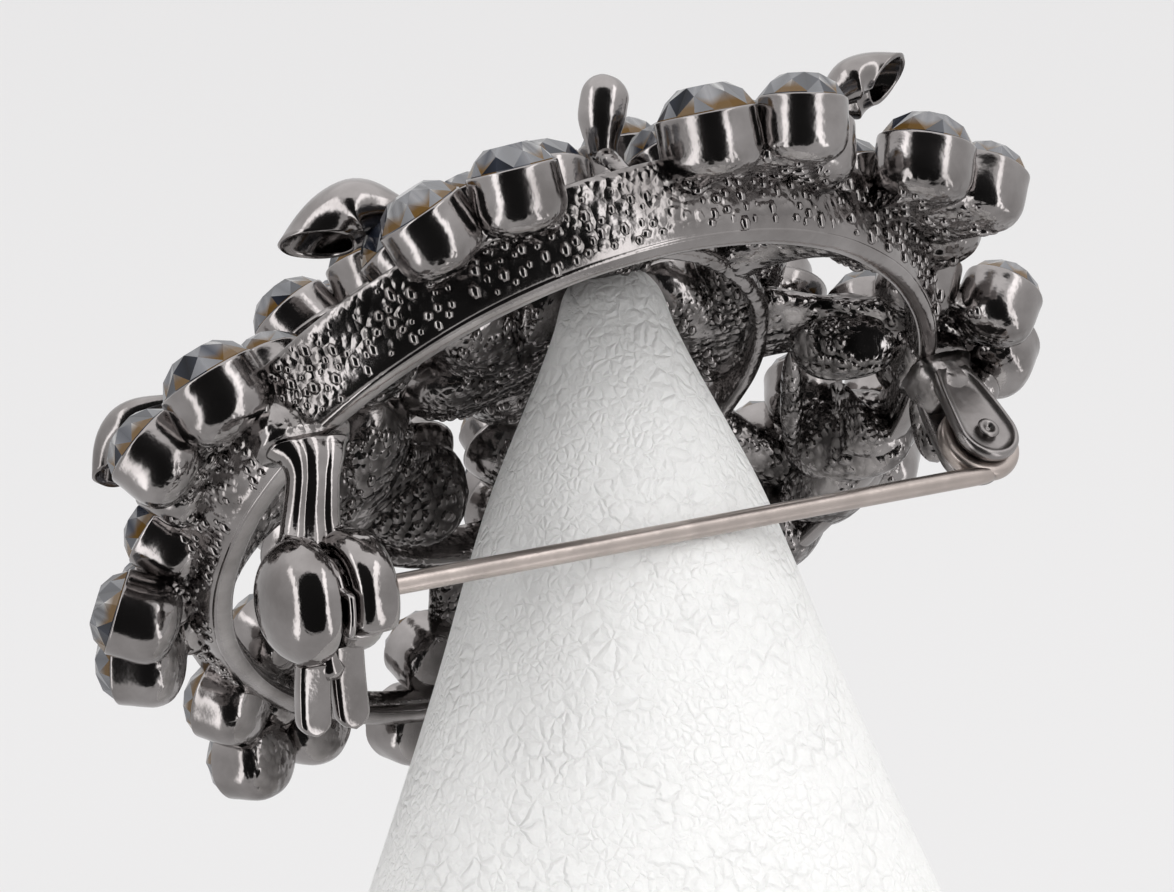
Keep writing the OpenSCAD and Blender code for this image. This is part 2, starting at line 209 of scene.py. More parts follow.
def flower_frame(flower):
    """Frame of a flower: turned round the brooch, out by its reach, up by its lift, then leant outwards."""
    turn, reach, lift, lean = flower[:4]
    return turned(z=turn) @ shifted(reach, 0, lift) @ turned(y=lean)


def petal_frame(flower, petal):
    """Frame of a petal's stone, out from the flower's middle and leant outwards."""
    out = flower_frame(flower) @ turned(z=flower[4] + petal * 360 / PETALS)
    return out @ shifted(PETAL_REACH, 0, -PETAL_DROP) @ turned(y=PETAL_LEAN, z=3 + 7 * petal)


def middle_frame(flower):
    """Frame of a flower's middle stone, turned with its petals."""
    return flower_frame(flower) @ turned(z=flower[4])


def stone_size(flower, petal):
    """Size of a petal's stone. A flower may name one petal with a large stone."""
    return LARGE_STONE if petal == flower[5] and flower[5] > 0 else SMALL_STONE


def rounded_step(x):
    """0 below 0 and 1 above 1, with a smooth rise 3x^2 - 2x^3 between them."""
    x = np.clip(x, 0, 1)
    return x * x * (3 - 2 * x)


def squared(wave, power):
    """A wave's sign times its size to a power. Below 1 the power squares a circle off."""
    return np.sign(wave) * np.abs(wave) ** power


def round_angles(count):
    """Angles evenly spread over a full turn, in radians."""
    return np.linspace(0, 2 * np.pi, count, endpoint=False)


def squared_circle(count, power):
    """Cosine and sine round a full turn, both squared off by a power."""
    angle = round_angles(count)
    return squared(np.cos(angle), power), squared(np.sin(angle), power)


def stacked(x, y, z):
    """Points from their three coordinates, which are first spread to one shape."""
    return np.stack(np.broadcast_arrays(x, y, z), -1)


def polar(r, angle, z):
    """Points from radius, angle in radians and height."""
    return stacked(r * np.cos(angle), r * np.sin(angle), z)


def unit(vectors):
    """Vectors scaled to length 1."""
    return vectors / np.linalg.norm(vectors, axis=-1, keepdims=True)


def quadratic(start, bend, end, t):
    """Place at t on a curve: (1 - t)^2 start + 2t(1 - t) bend + t^2 end."""
    return (1 - t) ** 2 * start + 2 * t * (1 - t) * bend + t**2 * end


def spline(controls, count, closed=False):
    """Count points on a Catmull-Rom curve through the controls, evenly spread over its pieces."""
    p = np.asarray(controls, float)
    n = len(p)
    pieces = n if closed else n - 1
    t = np.linspace(0, pieces, count, endpoint=not closed)
    i = np.minimum(t.astype(int), pieces - 1)
    f = (t - i)[:, None]
    if closed:
        a, b, c, d = p[(i - 1) % n], p[i % n], p[(i + 1) % n], p[(i + 2) % n]
    else:
        a, b, c, d = p[np.maximum(i - 1, 0)], p[i], p[i + 1], p[np.minimum(i + 2, n - 1)]
    square = 2 * a - 5 * b + 4 * c - d
    cube = 3 * b - a - 3 * c + d
    return 0.5 * (2 * b + (c - a) * f + square * f**2 + cube * f**3)


def profile_spline(controls, count):
    """Spline of radius and height whose radius never falls below 0."""
    profile = spline(controls, count)
    profile[:, 0] = np.maximum(profile[:, 0], 0)
    return profile


class Skin:
    """Points with quads and triangles, the bead strength at each point, and coordinates for a pattern."""

    def __init__(self, points, quads, tris, grain=0.0, uv=None):
        self.points = np.asarray(points, float)
        self.quads = np.asarray(quads, int).reshape(-1, 4)
        self.tris = np.asarray(tris, int).reshape(-1, 3)
        self.grain = np.broadcast_to(np.asarray(grain, float), (len(self.points),))
        self.uv = np.zeros((len(self.points), 2)) if uv is None else uv

    def volume(self):
        """Six times the signed volume: the triple product of each triangle's corners, summed."""
        fans = np.concatenate([self.tris, self.quads[:, :3], self.quads[:, [0, 2, 3]]])
        a, b, c = (self.points[fans[:, k]] - self.points.mean(0) for k in range(3))
        return np.einsum("ij,ij->", a, np.cross(b, c))

    def outwards(self):
        """The same skin with its faces turned outwards."""
        if self.volume() < 0:
            self.quads = self.quads[:, ::-1]
            self.tris = self.tris[:, ::-1]
        return self

    def moved(self, where):
        """The same skin carried into a frame."""
        self.points = placed(self.points, where)
        return self

    def copied(self, frames):
        """One skin that holds this one once in each frame."""
        frames = np.asarray(frames, float)
        many, n = len(frames), len(self.points)
        points = np.einsum("kij,vj->kvi", frames[:, :3, :3], self.points) + frames[:, None, :3, 3]
        steps = (np.arange(many) * n)[:, None, None]
        return Skin(
            points.reshape(-1, 3),
            (self.quads[None] + steps).reshape(-1, 4),
            (self.tris[None] + steps).reshape(-1, 3),
            np.tile(self.grain, many),
            np.tile(self.uv, (many, 1)),
        )


def joined(skins):
    """One skin that holds all the given ones."""
    starts = np.cumsum([0] + [len(s.points) for s in skins[:-1]])
    return Skin(
        np.concatenate([s.points for s in skins]),
        np.concatenate([s.quads + k for s, k in zip(skins, starts)]),
        np.concatenate([s.tris + k for s, k in zip(skins, starts)]),
        np.concatenate([s.grain for s in skins]),
        np.concatenate([s.uv for s in skins]),
    )


def wrapped(grid, grain=0.0, ring=False):
    """Closed skin over a grid whose columns go once round: the last column joins the first.
    With ring the last row joins the first too, otherwise each end row is closed by a fan round its mean."""
    grid = np.asarray(grid, float)
    rows, cols = grid.shape[:2]
    strength = np.broadcast_to(np.asarray(grain, float), (rows, cols)).reshape(-1)
    at = np.arange(rows * cols).reshape(rows, cols)
    upper = at if ring else at[:-1]
    lower = np.roll(at, -1, 0) if ring else at[1:]
    quads = np.stack([upper, np.roll(upper, -1, 1), np.roll(lower, -1, 1), lower], -1).reshape(-1, 4)
    around = np.tile(np.linspace(0, 1, cols, endpoint=False), rows)
    along = np.repeat(np.linspace(0, 1, rows), cols)
    uv = np.stack([around, along], -1)
    if ring:
        return Skin(grid.reshape(-1, 3), quads, [], strength, uv).outwards()
    points = np.concatenate([grid.reshape(-1, 3), grid[0].mean(0)[None], grid[-1].mean(0)[None]])
    first, last = rows * cols, rows * cols + 1
    start = np.stack([np.full(cols, first), np.roll(at[0], -1), at[0]], -1)
    finish = np.stack([np.full(cols, last), at[-1], np.roll(at[-1], -1)], -1)
    strength = np.concatenate([strength, strength[:1], strength[-1:]])
    uv = np.concatenate([uv, [[0.5, 0], [0.5, 1]]])
    return Skin(points, quads, np.concatenate([start, finish]), strength, uv).outwards()


def lathed(profile, steps, grain=0.0, wave=0.0):
    """Grid skin of a profile of radius and height turned round z. The radius is raised by wave times the
    sum of two slow sines of the angle. A profile that ends on the axis closes there."""
    profile = np.asarray(profile, float)
    angle = round_angles(steps)
    ripple = 1 + wave * (np.sin(3 * angle + 0.6) + 0.6 * np.sin(7 * angle + 2.1))
    strength = np.broadcast_to(np.asarray(grain, float), (len(profile),))[:, None]
    return wrapped(polar(profile[:, :1] * ripple, angle, profile[:, 1:]), strength)


def ringed(loop, steps, grain=0.0, wave=0.0):
    """Ring whose section is a closed loop of radius and height, turned round z. The section moves in and out
    by wave times a sum of slow sines of the angle."""
    loop = np.asarray(loop, float)
    angle = round_angles(steps)[:, None]
    sway = np.sin(5 * angle) + 0.7 * np.sin(11 * angle + 1.3) + 0.5 * np.sin(23 * angle + 0.4)
    z = loop[:, 1] + wave * 0.7 * np.sin(9 * angle + 2)
    return wrapped(polar(loop[:, 0] + wave * sway, angle, z), grain, ring=True)


def swept(line, side, x, up, y):
    """Grid of sections across a line: x along its side direction and y along its up direction."""
    return line[:, None] + side[:, None] * x[..., None] + up[:, None] * y[..., None]


def tube(path, radii, sides=24):
    """Round tube along a path: at each point a circle across the path, whose radius is given there.
    The circle's first axis is the part of the most sideways world axis that is across the path."""
    path = np.asarray(path, float)
    along = unit(np.gradient(path, axis=0))
    ref = np.eye(3)[np.argmin(np.abs(along.mean(0)))]
    first = unit(ref - along * (along @ ref)[:, None])
    angle = round_angles(sides)
    r = np.asarray(radii, float)[:, None]
    return wrapped(swept(path, first, r * np.cos(angle), np.cross(along, first), r * np.sin(angle)))


def strut(
    start, end, half_width, half_height, bow=0.0, up=(0, 0, 1), grain=1.0, rows=14, sides=20, rounded=False
):
    """Cast strut between two places: an oval section that flares by 40% at both ends, carried along a line
    bowed by bow times 4t(1 - t) in the up direction. A rounded one has its section scaled by
    sqrt(1 - |2t - 1|^2.6) instead."""
    a, b, up = (np.asarray(v, float) for v in (start, end, up))
    t = np.linspace(0, 1, rows)[:, None]
    heading = unit(b - a)
    across = unit(np.cross(up, heading))
    lift = np.cross(heading, across)
    line = a + (b - a) * t + lift * bow * 4 * t * (1 - t)
    angle = round_angles(sides)[:, None]
    flare = np.sqrt(1.001 - np.abs(2 * t - 1) ** 2.6) if rounded else 1 + 0.4 * (2 * t - 1) ** 2
    section = across * half_width * np.cos(angle) + lift * half_height * np.sin(angle)
    return wrapped(line[:, None] + flare[..., None] * section, grain)


def post(x, y, half_x, half_y, rows, sides, where, grain):
    """Squared ovals one above another round x and y. A row gives the height and the swell of its oval."""
    z, swell = rows[:, :1], rows[:, 1:]
    wide, deep = squared_circle(sides, 0.6)
    grid = stacked(x + half_x * swell * wide, y + half_y * swell * deep, z)
    return wrapped(placed(grid, where), grain)


def put_mesh(name, skins, material, nodes=(), body=RIGID, smooth=True):
    """Makes a mesh piece from skins in millimetres, gives it its material and ties it to the frame."""
    skin = joined(skins)
    mesh = bpy.data.meshes.new(name)
    corners = np.concatenate([skin.quads.ravel(), skin.tris.ravel()])
    sizes = np.concatenate([np.full(len(skin.quads), 4), np.full(len(skin.tris), 3)])
    mesh.vertices.add(len(skin.points))
    mesh.vertices.foreach_set("co", (skin.points * MM).ravel())
    mesh.loops.add(len(corners))
    mesh.loops.foreach_set("vertex_index", corners)
    mesh.polygons.add(len(sizes))
    mesh.polygons.foreach_set("loop_start", np.concatenate([[0], np.cumsum(sizes)[:-1]]))
    mesh.polygons.foreach_set("use_smooth", np.full(len(sizes), smooth))
    mesh.update(calc_edges=True)
    strength = mesh.attributes.new("grain", "FLOAT", "POINT")
    strength.data.foreach_set("value", skin.grain)
    pattern = mesh.uv_layers.new(name="Pattern")
    pattern.data.foreach_set("uv", skin.uv[corners].ravel())
    mesh.validate()
    piece = bpy.data.objects.new(name, mesh)
    bpy.context.scene.collection.objects.link(piece)
    mesh.materials.append(material)
    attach(piece, body)
    if nodes:
        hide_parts(*nodes)
    return piece


class Net:
    """The shader nodes of a material or of the world, with short calls for the kinds used here."""

    def __init__(self, tree):
        self.nodes = tree.nodes
        self.links = tree.links

    def feed(self, value, socket):
        """Links a socket's value to an input, or sets the input to a plain value."""
        if isinstance(value, bpy.types.NodeSocket):
            self.links.new(value, socket)
        else:
            socket.default_value = value

    def set(self, node, **named):
        """Sets a node's property of each name, or else feeds its input of that name."""
        for key, value in named.items():
            if hasattr(node, key):
                setattr(node, key, value)
            else:
                self.feed(value, node.inputs[key.replace("_", " ")])

    def add(self, kind, *first, **named):
        """A node with its named values set and its first inputs fed in order."""
        node = self.nodes.new(kind)
        self.set(node, **named)
        for socket, value in zip(node.inputs, first):
            self.feed(value, socket)
        return node

    def attribute(self, name):
        """A mesh attribute's value."""
        return self.add("ShaderNodeAttribute", attribute_name=name).outputs["Fac"]

    def place(self):
        """The place on the object."""
        return self.add("ShaderNodeTexCoord").outputs["Object"]

    def maths(self, operation, first, second=0.5, third=0.5):
        """The result of a Math node over sockets or numbers."""
        return self.add("ShaderNodeMath", first, second, third, operation=operation).outputs[0]

    def times(self, first, second):
        """The product of two values."""
        return self.maths("MULTIPLY", first, second)

    def blend(self, factor, low, high):
        """A mix of two colours, each a socket or three numbers."""
        node = self.add("ShaderNodeMix", factor, data_type="RGBA")
        for index, colour in ((6, low), (7, high)):
            linked = isinstance(colour, bpy.types.NodeSocket)
            self.feed(colour if linked else (*colour, 1), node.inputs[index])
        return node.outputs[2]

    def ramp(self, factor, stops):
        """A Color Ramp's result. Its stops are given as place and grey value or colour."""
        node = self.add("ShaderNodeValToRGB", factor)
        elements = node.color_ramp.elements
        while len(elements) < len(stops):
            elements.new(0.5)
        for element, (place, value) in zip(elements, stops):
            element.position = place
            element.color = (value, value, value, 1) if isinstance(value, float) else (*value, 1)
        return node.outputs[0]

    def noise(self, where, scale, detail):
        """Noise of a scale at a place, as a value."""
        return self.add("ShaderNodeTexNoise", where, Scale=scale, Detail=detail).outputs["Fac"]

    def bent(self, where, scale, detail, amount):
        """A place moved by a noise's colour times the amount, which bends a pattern laid on it."""
        warp = self.add("ShaderNodeTexNoise", where, Scale=scale, Detail=detail).outputs["Color"]
        parts = (warp, (amount,) * 3, where)
        return self.add("ShaderNodeVectorMath", *parts, operation="MULTIPLY_ADD").outputs[0]

    def bumps(self, shader, layers):
        """Bumps one over another on a shader's normal. A layer is its height, strength and distance."""
        normal = None
        for height, strength, distance in layers:
            bump = self.add("ShaderNodeBump", Strength=strength, Distance=distance, Height=height)
            if normal:
                self.feed(normal, bump.inputs["Normal"])
            normal = bump.outputs["Normal"]
        self.feed(normal, shader.inputs["Normal"])


def new_material(name):
    """An empty node material, its nodes and its Principled shader."""
    material = bpy.data.materials.new(name)
    material.use_nodes = True
    net = Net(material.node_tree)
    return material, net, net.nodes["Principled BSDF"]


def metal_material(name, colour, dark, bead_size, bead_depth, roughness):
    """Dark plated metal. Voronoi cells of about bead_size make cast beads where the mesh's grain is above 0,
    and the gaps between them are darkened with painted shade. Slow noise varies colour and gloss, and fine
    noise gives the handling marks."""
    material, net, shader = new_material(name)
    where = net.place()
    bent = net.bent(where, 900.0, 1.0, bead_size * 0.5)
    cells = net.add("ShaderNodeTexVoronoi", bent, feature="F1", Scale=1 / bead_size, Randomness=0.75)
    domes = net.ramp(cells.outputs["Distance"], ((0.0, 1.0), (0.28, 0.86), (0.52, 0.3), (0.75, 0.0)))
    slow = net.noise(where, 380.0, 4.0)
    fine = net.noise(where, 5200.0, 2.0)
    grain = net.times(net.attribute("grain"), net.ramp(slow, ((0.38, 0.15), (0.56, 1.0))))
    beads = net.times(domes, grain)
    net.bumps(shader, ((beads, 1.0, bead_depth), (slow, 0.6, 0.00012), (fine, 0.25, 0.00002)))
    mottled = net.blend(net.ramp(slow, ((0.3, 0.0), (0.7, 1.0))), colour, dark)
    # Painted shade: the gaps between the beads are darkened towards a third of the dark tone
    painted_crevice_shade = net.times(net.maths("SUBTRACT", 1.0, domes), grain)
    base = net.blend(painted_crevice_shade, mottled, tuple(0.35 * c for c in dark))
    gloss = net.add("ShaderNodeMapRange", slow, To_Min=roughness, To_Max=roughness * 1.9).outputs[0]
    net.set(shader, Base_Color=base, Roughness=gloss, Metallic=1.0)
    return material


def plating(scene, name="dark_plating"):
    """A dark plating by its name, made once and then reused."""
    made = bpy.data.materials.get(name)
    if made:
        return made
    sizes, colours = scene.brooch_sizes, scene.brooch_colours
    return metal_material(
        name, colours.metal, colours.metal_dark, sizes.bead, sizes.bead_rise, PLATINGS[name]
    )


def stone_material(name, smoke, foil):
    """Smoky cut stone, opaque, with its inner light painted on. A facet's own value sets how dark, pale or
    blue its painted inner reflection is, and how much it mirrors. Soft rays round the pattern's middle are a
    painted reflection of the pavilion seen through the crown, and the foil's colour near the girdle is a
    painted reflection of the foil behind the stone."""
    material, net, shader = new_material(name)
    facet = net.attribute("facet")
    uv = net.add("ShaderNodeUVMap", uv_map="Pattern").outputs["UV"]
    around, reach, _ = net.add("ShaderNodeSeparateXYZ", uv).outputs
    # Painted reflection of the pavilion: soft rays round the stone's axis
    rays = net.maths("PINGPONG", net.times(around, 16.0), 1.0)
    inner = net.maths("MULTIPLY_ADD", rays, 0.22, net.times(facet, 0.78))
    # Painted inner reflections: near black, smoke, blue-greys and a pale grey, chosen by the facet's value
    # and the rays
    deep = net.ramp(inner, (
        (0.0, (0.004, 0.005, 0.008)), (0.3, smoke), (0.46, (0.07, 0.075, 0.09)), (0.6, (0.16, 0.16, 0.17)),
        (0.76, (0.02, 0.022, 0.03)), (0.92, (0.36, 0.36, 0.36)),
    ))
    # Painted reflection of the foil: the foil's colour on some facets near the girdle
    edge = net.ramp(reach, ((0.78, 0.0), (0.93, 1.0)))
    share = net.times(edge, net.maths("GREATER_THAN", facet, 0.45))
    mirror = net.maths("PINGPONG", net.times(facet, 3.7), 1.0)
    gleam = net.times(mirror, net.maths("MULTIPLY_ADD", share, -0.75, 1.0))
    base = net.blend(share, deep, foil)
    net.set(shader, Base_Color=base, Roughness=0.03, IOR=1.9, Specular_IOR_Level=gleam)
    return material


def with_specks(net, where, base):
    """The cover's colour with faint yellowish specks. Each fades out over its radius."""
    for place, radius in SPECKS:
        centre = tuple(c * MM for c in place)
        away = net.add("ShaderNodeVectorMath", where, centre, operation="DISTANCE").outputs["Value"]
        speck = net.add("ShaderNodeMapRange", away, From_Min=radius * MM, From_Max=0.0, To_Max=0.55)
        base = net.blend(speck.outputs[0], base, (0.74, 0.66, 0.47))
    return base


def leatherette_material(name, colour):
    """White grained leatherette: pebbles of two sizes from the distance to Voronoi edges, bent by noise, with
    a slow unevenness, painted shade that greys the creases slightly, and three faint specks."""
    material, net, shader = new_material(name)
    where = net.place()
    bent = net.bent(where, 1000.0, 3.0, 0.0009)
    creases = []
    for scale, low in ((1150.0, 0.0), (1900.0, 0.45)):
        cells = net.add("ShaderNodeTexVoronoi", bent, feature="DISTANCE_TO_EDGE", Scale=scale)
        stops = ((0.0, low), (0.2, 0.5 + 0.5 * low), (0.6, 1.0))
        creases.append(net.ramp(cells.outputs["Distance"], stops))
    share = net.ramp(net.noise(where, 260.0, 2.0), ((0.42, 0.0), (0.58, 1.0)))
    pebbles = net.add("ShaderNodeMix", data_type="FLOAT")
    for index, value in ((0, share), (2, creases[0]), (3, creases[1])):
        net.feed(value, pebbles.inputs[index])
    height = pebbles.outputs[0]
    net.bumps(shader, ((height, 0.9, 0.00016), (net.noise(where, 90.0, 2.0), 0.5, 0.0006)))
    # Painted shade: the creases are greyed slightly, towards 0.9 of the white, by the pebbles' height
    tone = net.maths("MULTIPLY_ADD", height, 0.45, 0.55)
    base = net.blend(tone, tuple(0.9 * c for c in colour), colour)
    net.set(shader, Base_Color=with_specks(net, where, base), Roughness=0.48, IOR=1.45)
    return material


def flower_body(flower, depth, root, spread):
    """Lobed back of a flower as a curved funnel. Going round, the rim follows the five cups: at an angle d
    from the nearest petal its radius is a cos d + sqrt(q^2 - a^2 sin^2 d), with a the petals' reach and q the
    spread. Going down, each point runs on a quadratic curve from the rim by a belly below it to the root
    outline."""
    angle = np.radians(np.linspace(0, 360, 120, endpoint=False))
    off = np.radians((np.degrees(angle) - flower[4] + 36) % 72 - 36)
    a, q = PETAL_REACH, spread
    rim_r = a * np.cos(off) + np.sqrt(np.maximum(q * q - (a * np.sin(off)) ** 2, 0.12))
    drop = -RIM_DEPTH - PETAL_DROP - RIM_FALL * (rim_r - a)
    where = flower_frame(flower)
    rim = placed(polar(rim_r, angle, drop), where)
    belly = polar(BELLY_SHARE * rim_r + BELLY_MORE, angle, drop - BELLY_DROP * depth)
    s = np.linspace(0, 1, 26)[:, None, None]
    grid = quadratic(rim, placed(belly, where), root(angle), s)
    strength = rounded_step((s[..., 0] - 0.12) / 0.35) * np.ones(len(angle))
    return wrapped(placed(grid, BROOCH), strength)


def outer_back(flower):
    """Back of an outer flower, down to an oval on the skirt that is wide along the band."""
    where = turned(z=flower[0])

    def outline(angle):
        """Root outline at an angle round the flower."""
        oval = stacked(20.3 + 0.9 * np.cos(angle), 3.6 * np.sin(angle), 2.0 + 0.5 * np.cos(angle))
        return placed(oval, where)

    return flower_body(flower, OUTER_DEPTH, outline, 1.7)


def raised_back(flower):
    """Back of a raised flower, down to a small circle below its middle."""
    where = flower_frame(flower)

    def outline(angle):
        """Root outline at an angle round the flower."""
        return placed(polar(0.9, angle, -RAISED_BACK - 1.0), where)

    return flower_body(flower, RAISED_BACK, outline, 2.5)


def stone_cup(d, depth, rough):
    """Cup for a round stone: a spline profile from the middle of its underside, out and up a slightly bellied
    wall, over a rounded lip and down inside, turned round the stone's axis."""
    r = d / 2 + CUP_WALL
    lip = d / 2 + CUP_LIP
    profile = profile_spline(
        [
            (0.0, -1.06 * depth), (0.5 * r, -1.02 * depth), (0.84 * r, -0.88 * depth),
            (0.99 * r, -0.66 * depth), (1.01 * r, -0.42 * depth), (r, -0.2 * depth), (r, -0.08),
            (0.985 * r, 0.04), (0.95 * r, 0.07), (lip, 0.02), (lip, -0.35), (0.6 * lip, -1.3), (0.0, -1.7),
        ],
        33,
    )
    grain = rounded_step((-profile[:, 1] - 0.6 * depth) / (0.3 * depth)) * rough
    return lathed(profile, 48, grain, wave=0.012)


def leaf_skin(root, bend, tip, face, width, closed):
    """Curled leaf: a horn along the quadratic curve from root by bend to tip. Its radius grows as a smooth
    step to half its width and falls by 0.2 towards an open mouth. Its section is an oval with one crease
    underneath. Its mouth is cut aslant: each point of the rim is carried along by 0.7 r sin a. An open leaf
    turns in at the rim and runs back inside to half its length, and a closed one is drawn in at its end as a
    quarter of an ellipse."""
    root, bend, tip, face = (np.asarray(v, float) for v in (root, bend, tip, face))
    start, narrowing, notch, slant = (0.6, 0.0, 0.0, 0.0) if closed else (0.4, 0.2, 0.5, 0.7)
    inside = np.zeros(0) if closed else np.linspace(1.0, 0.5, 10)
    t = np.concatenate([np.linspace(0, 1, 26), inside])[:, None]
    shell = np.concatenate([np.zeros(26), np.full(len(inside), 0.2)])[:, None]
    line = quadratic(root, bend, tip, t)
    heading = unit((1 - t) * (bend - root) + t * (tip - bend))
    side = unit(np.cross(heading, face))
    r = width / 2 * (start + (1 - start) * rounded_step(t / 0.5))
    r = r * (1 - narrowing * rounded_step((t - 0.5) / 0.5))
    if closed:
        late = np.clip((t - 0.72) / 0.28, 0, 1)
        r = r * np.sqrt(np.maximum(1 - late**2, 0.003))
    angle = round_angles(48)
    crease = 1 - notch * np.exp(-(((angle - 1.5 * np.pi) / 0.34) ** 2))
    across = (r - shell) * crease * np.cos(angle)
    rise = (r * 0.78 - shell) * crease * np.sin(angle)
    ahead = slant * r * np.sin(angle) * rounded_step((t - 0.3) / 0.7)
    grid = swept(line, side, across, np.cross(side, heading), rise)
    return wrapped(placed(grid + heading[:, None] * ahead[..., None], BROOCH))


def stalk_skin(root):
    """Stalk from a leaf's root down to the skirt below it."""
    root = np.asarray(root, float)
    turn = np.arctan2(root[1], root[0])
    stalk = strut(root, polar(20.9, turn, 2.3), 0.4, 0.36, bow=0.25, up=polar(1.0, turn, 0.2), grain=0.6)
    return stalk.moved(BROOCH)


def far_lowered(points):
    """Points of the skirt whose height above 1.6 is drawn down to a quarter under the low far flowers,
    between 76 and 172 degrees round the brooch, with a smooth step beyond both ends."""
    turn = np.degrees(np.arctan2(points[:, 1], points[:, 0])) % 360
    share = rounded_step((turn - 62) / 14) * rounded_step((184 - turn) / 12)
    drop = 0.75 * share * np.maximum(points[:, 2] - 1.6, 0)
    return points - drop[:, None] * (0, 0, 1)


def bead_skin():
    """Small bead: a ball of four rows and six columns, flattened to 0.7."""
    tilt = np.radians([22.0, 62.0, 105.0, 150.0])[:, None]
    return wrapped(polar(np.sin(tilt), round_angles(6), 0.7 * np.cos(tilt)))


def standing_frames(points, normals, sizes, stretch):
    """Frames at points, with z along each normal and scaled by sizes, and y longer by stretch."""
    z = unit(normals)
    ref = np.where(np.abs(z[:, 2:]) < 0.9, [[0.0, 0.0, 1.0]], [[1.0, 0.0, 0.0]])
    x = unit(np.cross(ref, z))
    y = np.cross(z, x)
    out = np.zeros((len(points), 4, 4))
    out[:, :3, 0] = x * sizes[:, None]
    out[:, :3, 1] = y * (sizes * stretch)[:, None]
    out[:, :3, 2] = z * sizes[:, None]
    out[:, :3, 3] = points
    out[:, 3, 3] = 1
    return out


def cut_stone(d):
    """Brilliant-cut stone: an octagonal table, eight stars on its edges, eight kites from its corners down to
    the girdle, sixteen halves between them, a thin girdle of sixteen sides and sixteen faces down to the
    point."""
    k = np.arange(8)
    j = np.arange(16)
    eight = np.radians(k * 45.0)
    sixteen = np.radians(j * 22.5)
    r = d / 2 + STONE_OVERLAP
    table = polar(0.5 * r, eight, 0.33 * d)
    middle = polar(0.8 * r, eight + np.pi / 8, 0.215 * d)
    top = polar(r, sixteen, 0.12)
    low = top * (1, 1, 0) + (0, 0, 0.04)
    points = np.concatenate([table, middle, top, low, [[0, 0, -0.4 * d]]])
    kites = np.stack([k, 8 + (k - 1) % 8, 16 + 2 * k, 8 + k], -1)
    girdle = np.stack([16 + j, 32 + j, 32 + (j + 1) % 16, 16 + (j + 1) % 16], -1)
    stars = np.stack([k, 8 + k, (k + 1) % 8], -1)
    near = np.stack([8 + k, 16 + 2 * k, 16 + 2 * k + 1], -1)
    far = np.stack([8 + k, 16 + 2 * k + 1, 16 + (2 * k + 2) % 16], -1)
    pavilion = np.stack([32 + j, np.full(16, 48), 32 + (j + 1) % 16], -1)
    fan = np.stack([np.zeros(TABLE_FACES, int), np.arange(1, 7), np.arange(2, 8)], -1)
    facets = np.concatenate([
        0.1 + 0.8 * ((k * 5) % 8) / 8, np.full(16, 0.5), np.full(TABLE_FACES, 0.3),
        0.1 + 0.8 * ((k * 3 + 2) % 8) / 8, 0.2 + 0.7 * ((k * 3) % 8) / 8, 0.1 + 0.7 * ((k * 5 + 3) % 8) / 8,
        0.2 + 0.6 * (j % 4) / 4,
    ])
    reach = np.hypot(points[:, 0], points[:, 1]) / r
    uv = np.stack([np.arctan2(points[:, 1], points[:, 0]) / (2 * np.pi) + 0.5, reach], -1)
    quads = np.concatenate([kites, girdle])
    return points, quads, np.concatenate([fan, stars, near, far, pavilion]), facets, uv


def put_stones(name, material, sizes_and_frames, nodes):
    """One mesh of cut stones. Corners take their place in the pattern from the stone's own angle and radius.
    Each facet gets a seeded value that the material reads, and the table's six triangles share one."""
    rng = np.random.default_rng(STONE_SEED)
    skins, quad_values, tri_values = [], [], []
    for d, where in sizes_and_frames:
        points, quads, tris, facets, uv = cut_stone(d)
        skins.append(Skin(points, quads, tris, 0.0, uv).moved(BROOCH @ where))
        shade = (facets + rng.uniform(-0.25, 0.25, len(facets)) + rng.uniform(0, 1)) % 1 * 0.95
        n = len(quads)
        shade[n:n + TABLE_FACES] = shade[n]
        quad_values.append(shade[:n])
        tri_values.append(shade[n:])
    piece = put_mesh(name, skins, material, nodes, smooth=False)
    facet = piece.data.attributes.new("facet", "FLOAT", "FACE")
    facet.data.foreach_set("value", np.concatenate(quad_values + tri_values))


def split_ring(centre_x, radius, half_out, half_along, gap, bulge=0.0, far_taper=0.0):
    """Open ring round the x axis, for a cheek of the catch and for its turning plate and sleeve. A point of
    the oval section at radius p runs from 90 - w to 90 + w degrees with w = 180 - asin(gap / p), so that the
    mouth in negative z has parallel sides, gap from its middle plane. The outside is raised by bulge between
    220 and 330 degrees, and drawn in by far_taper over the last rows beyond the mouth."""
    share = np.linspace(-1, 1, 96)[:, None]
    near_end = np.minimum((1 - np.abs(share)) / 0.02, 1)
    shrink = np.sqrt(np.clip(1 - (1 - near_end) ** 2, 0.6, 1))
    angle = round_angles(28)
    turn = 90 + 180 * share
    raised = bulge * rounded_step((turn - 217) / 7) * rounded_step((330 - turn) / 8)
    out = radius + half_out * shrink * squared(np.cos(angle), 0.8) + raised * np.maximum(np.cos(angle), 0)
    outside = (out - radius + half_out) / (2 * half_out)
    out = out - far_taper * rounded_step((-0.7 - share) / 0.3) * outside
    along = centre_x + half_along * shrink * squared(np.sin(angle), 0.8)
    spread = np.pi / 2 + share * (np.pi - np.arcsin(np.minimum(gap / out, 0.99)))
    return wrapped(placed(stacked(along, out * np.cos(spread), out * np.sin(spread)), STEM))


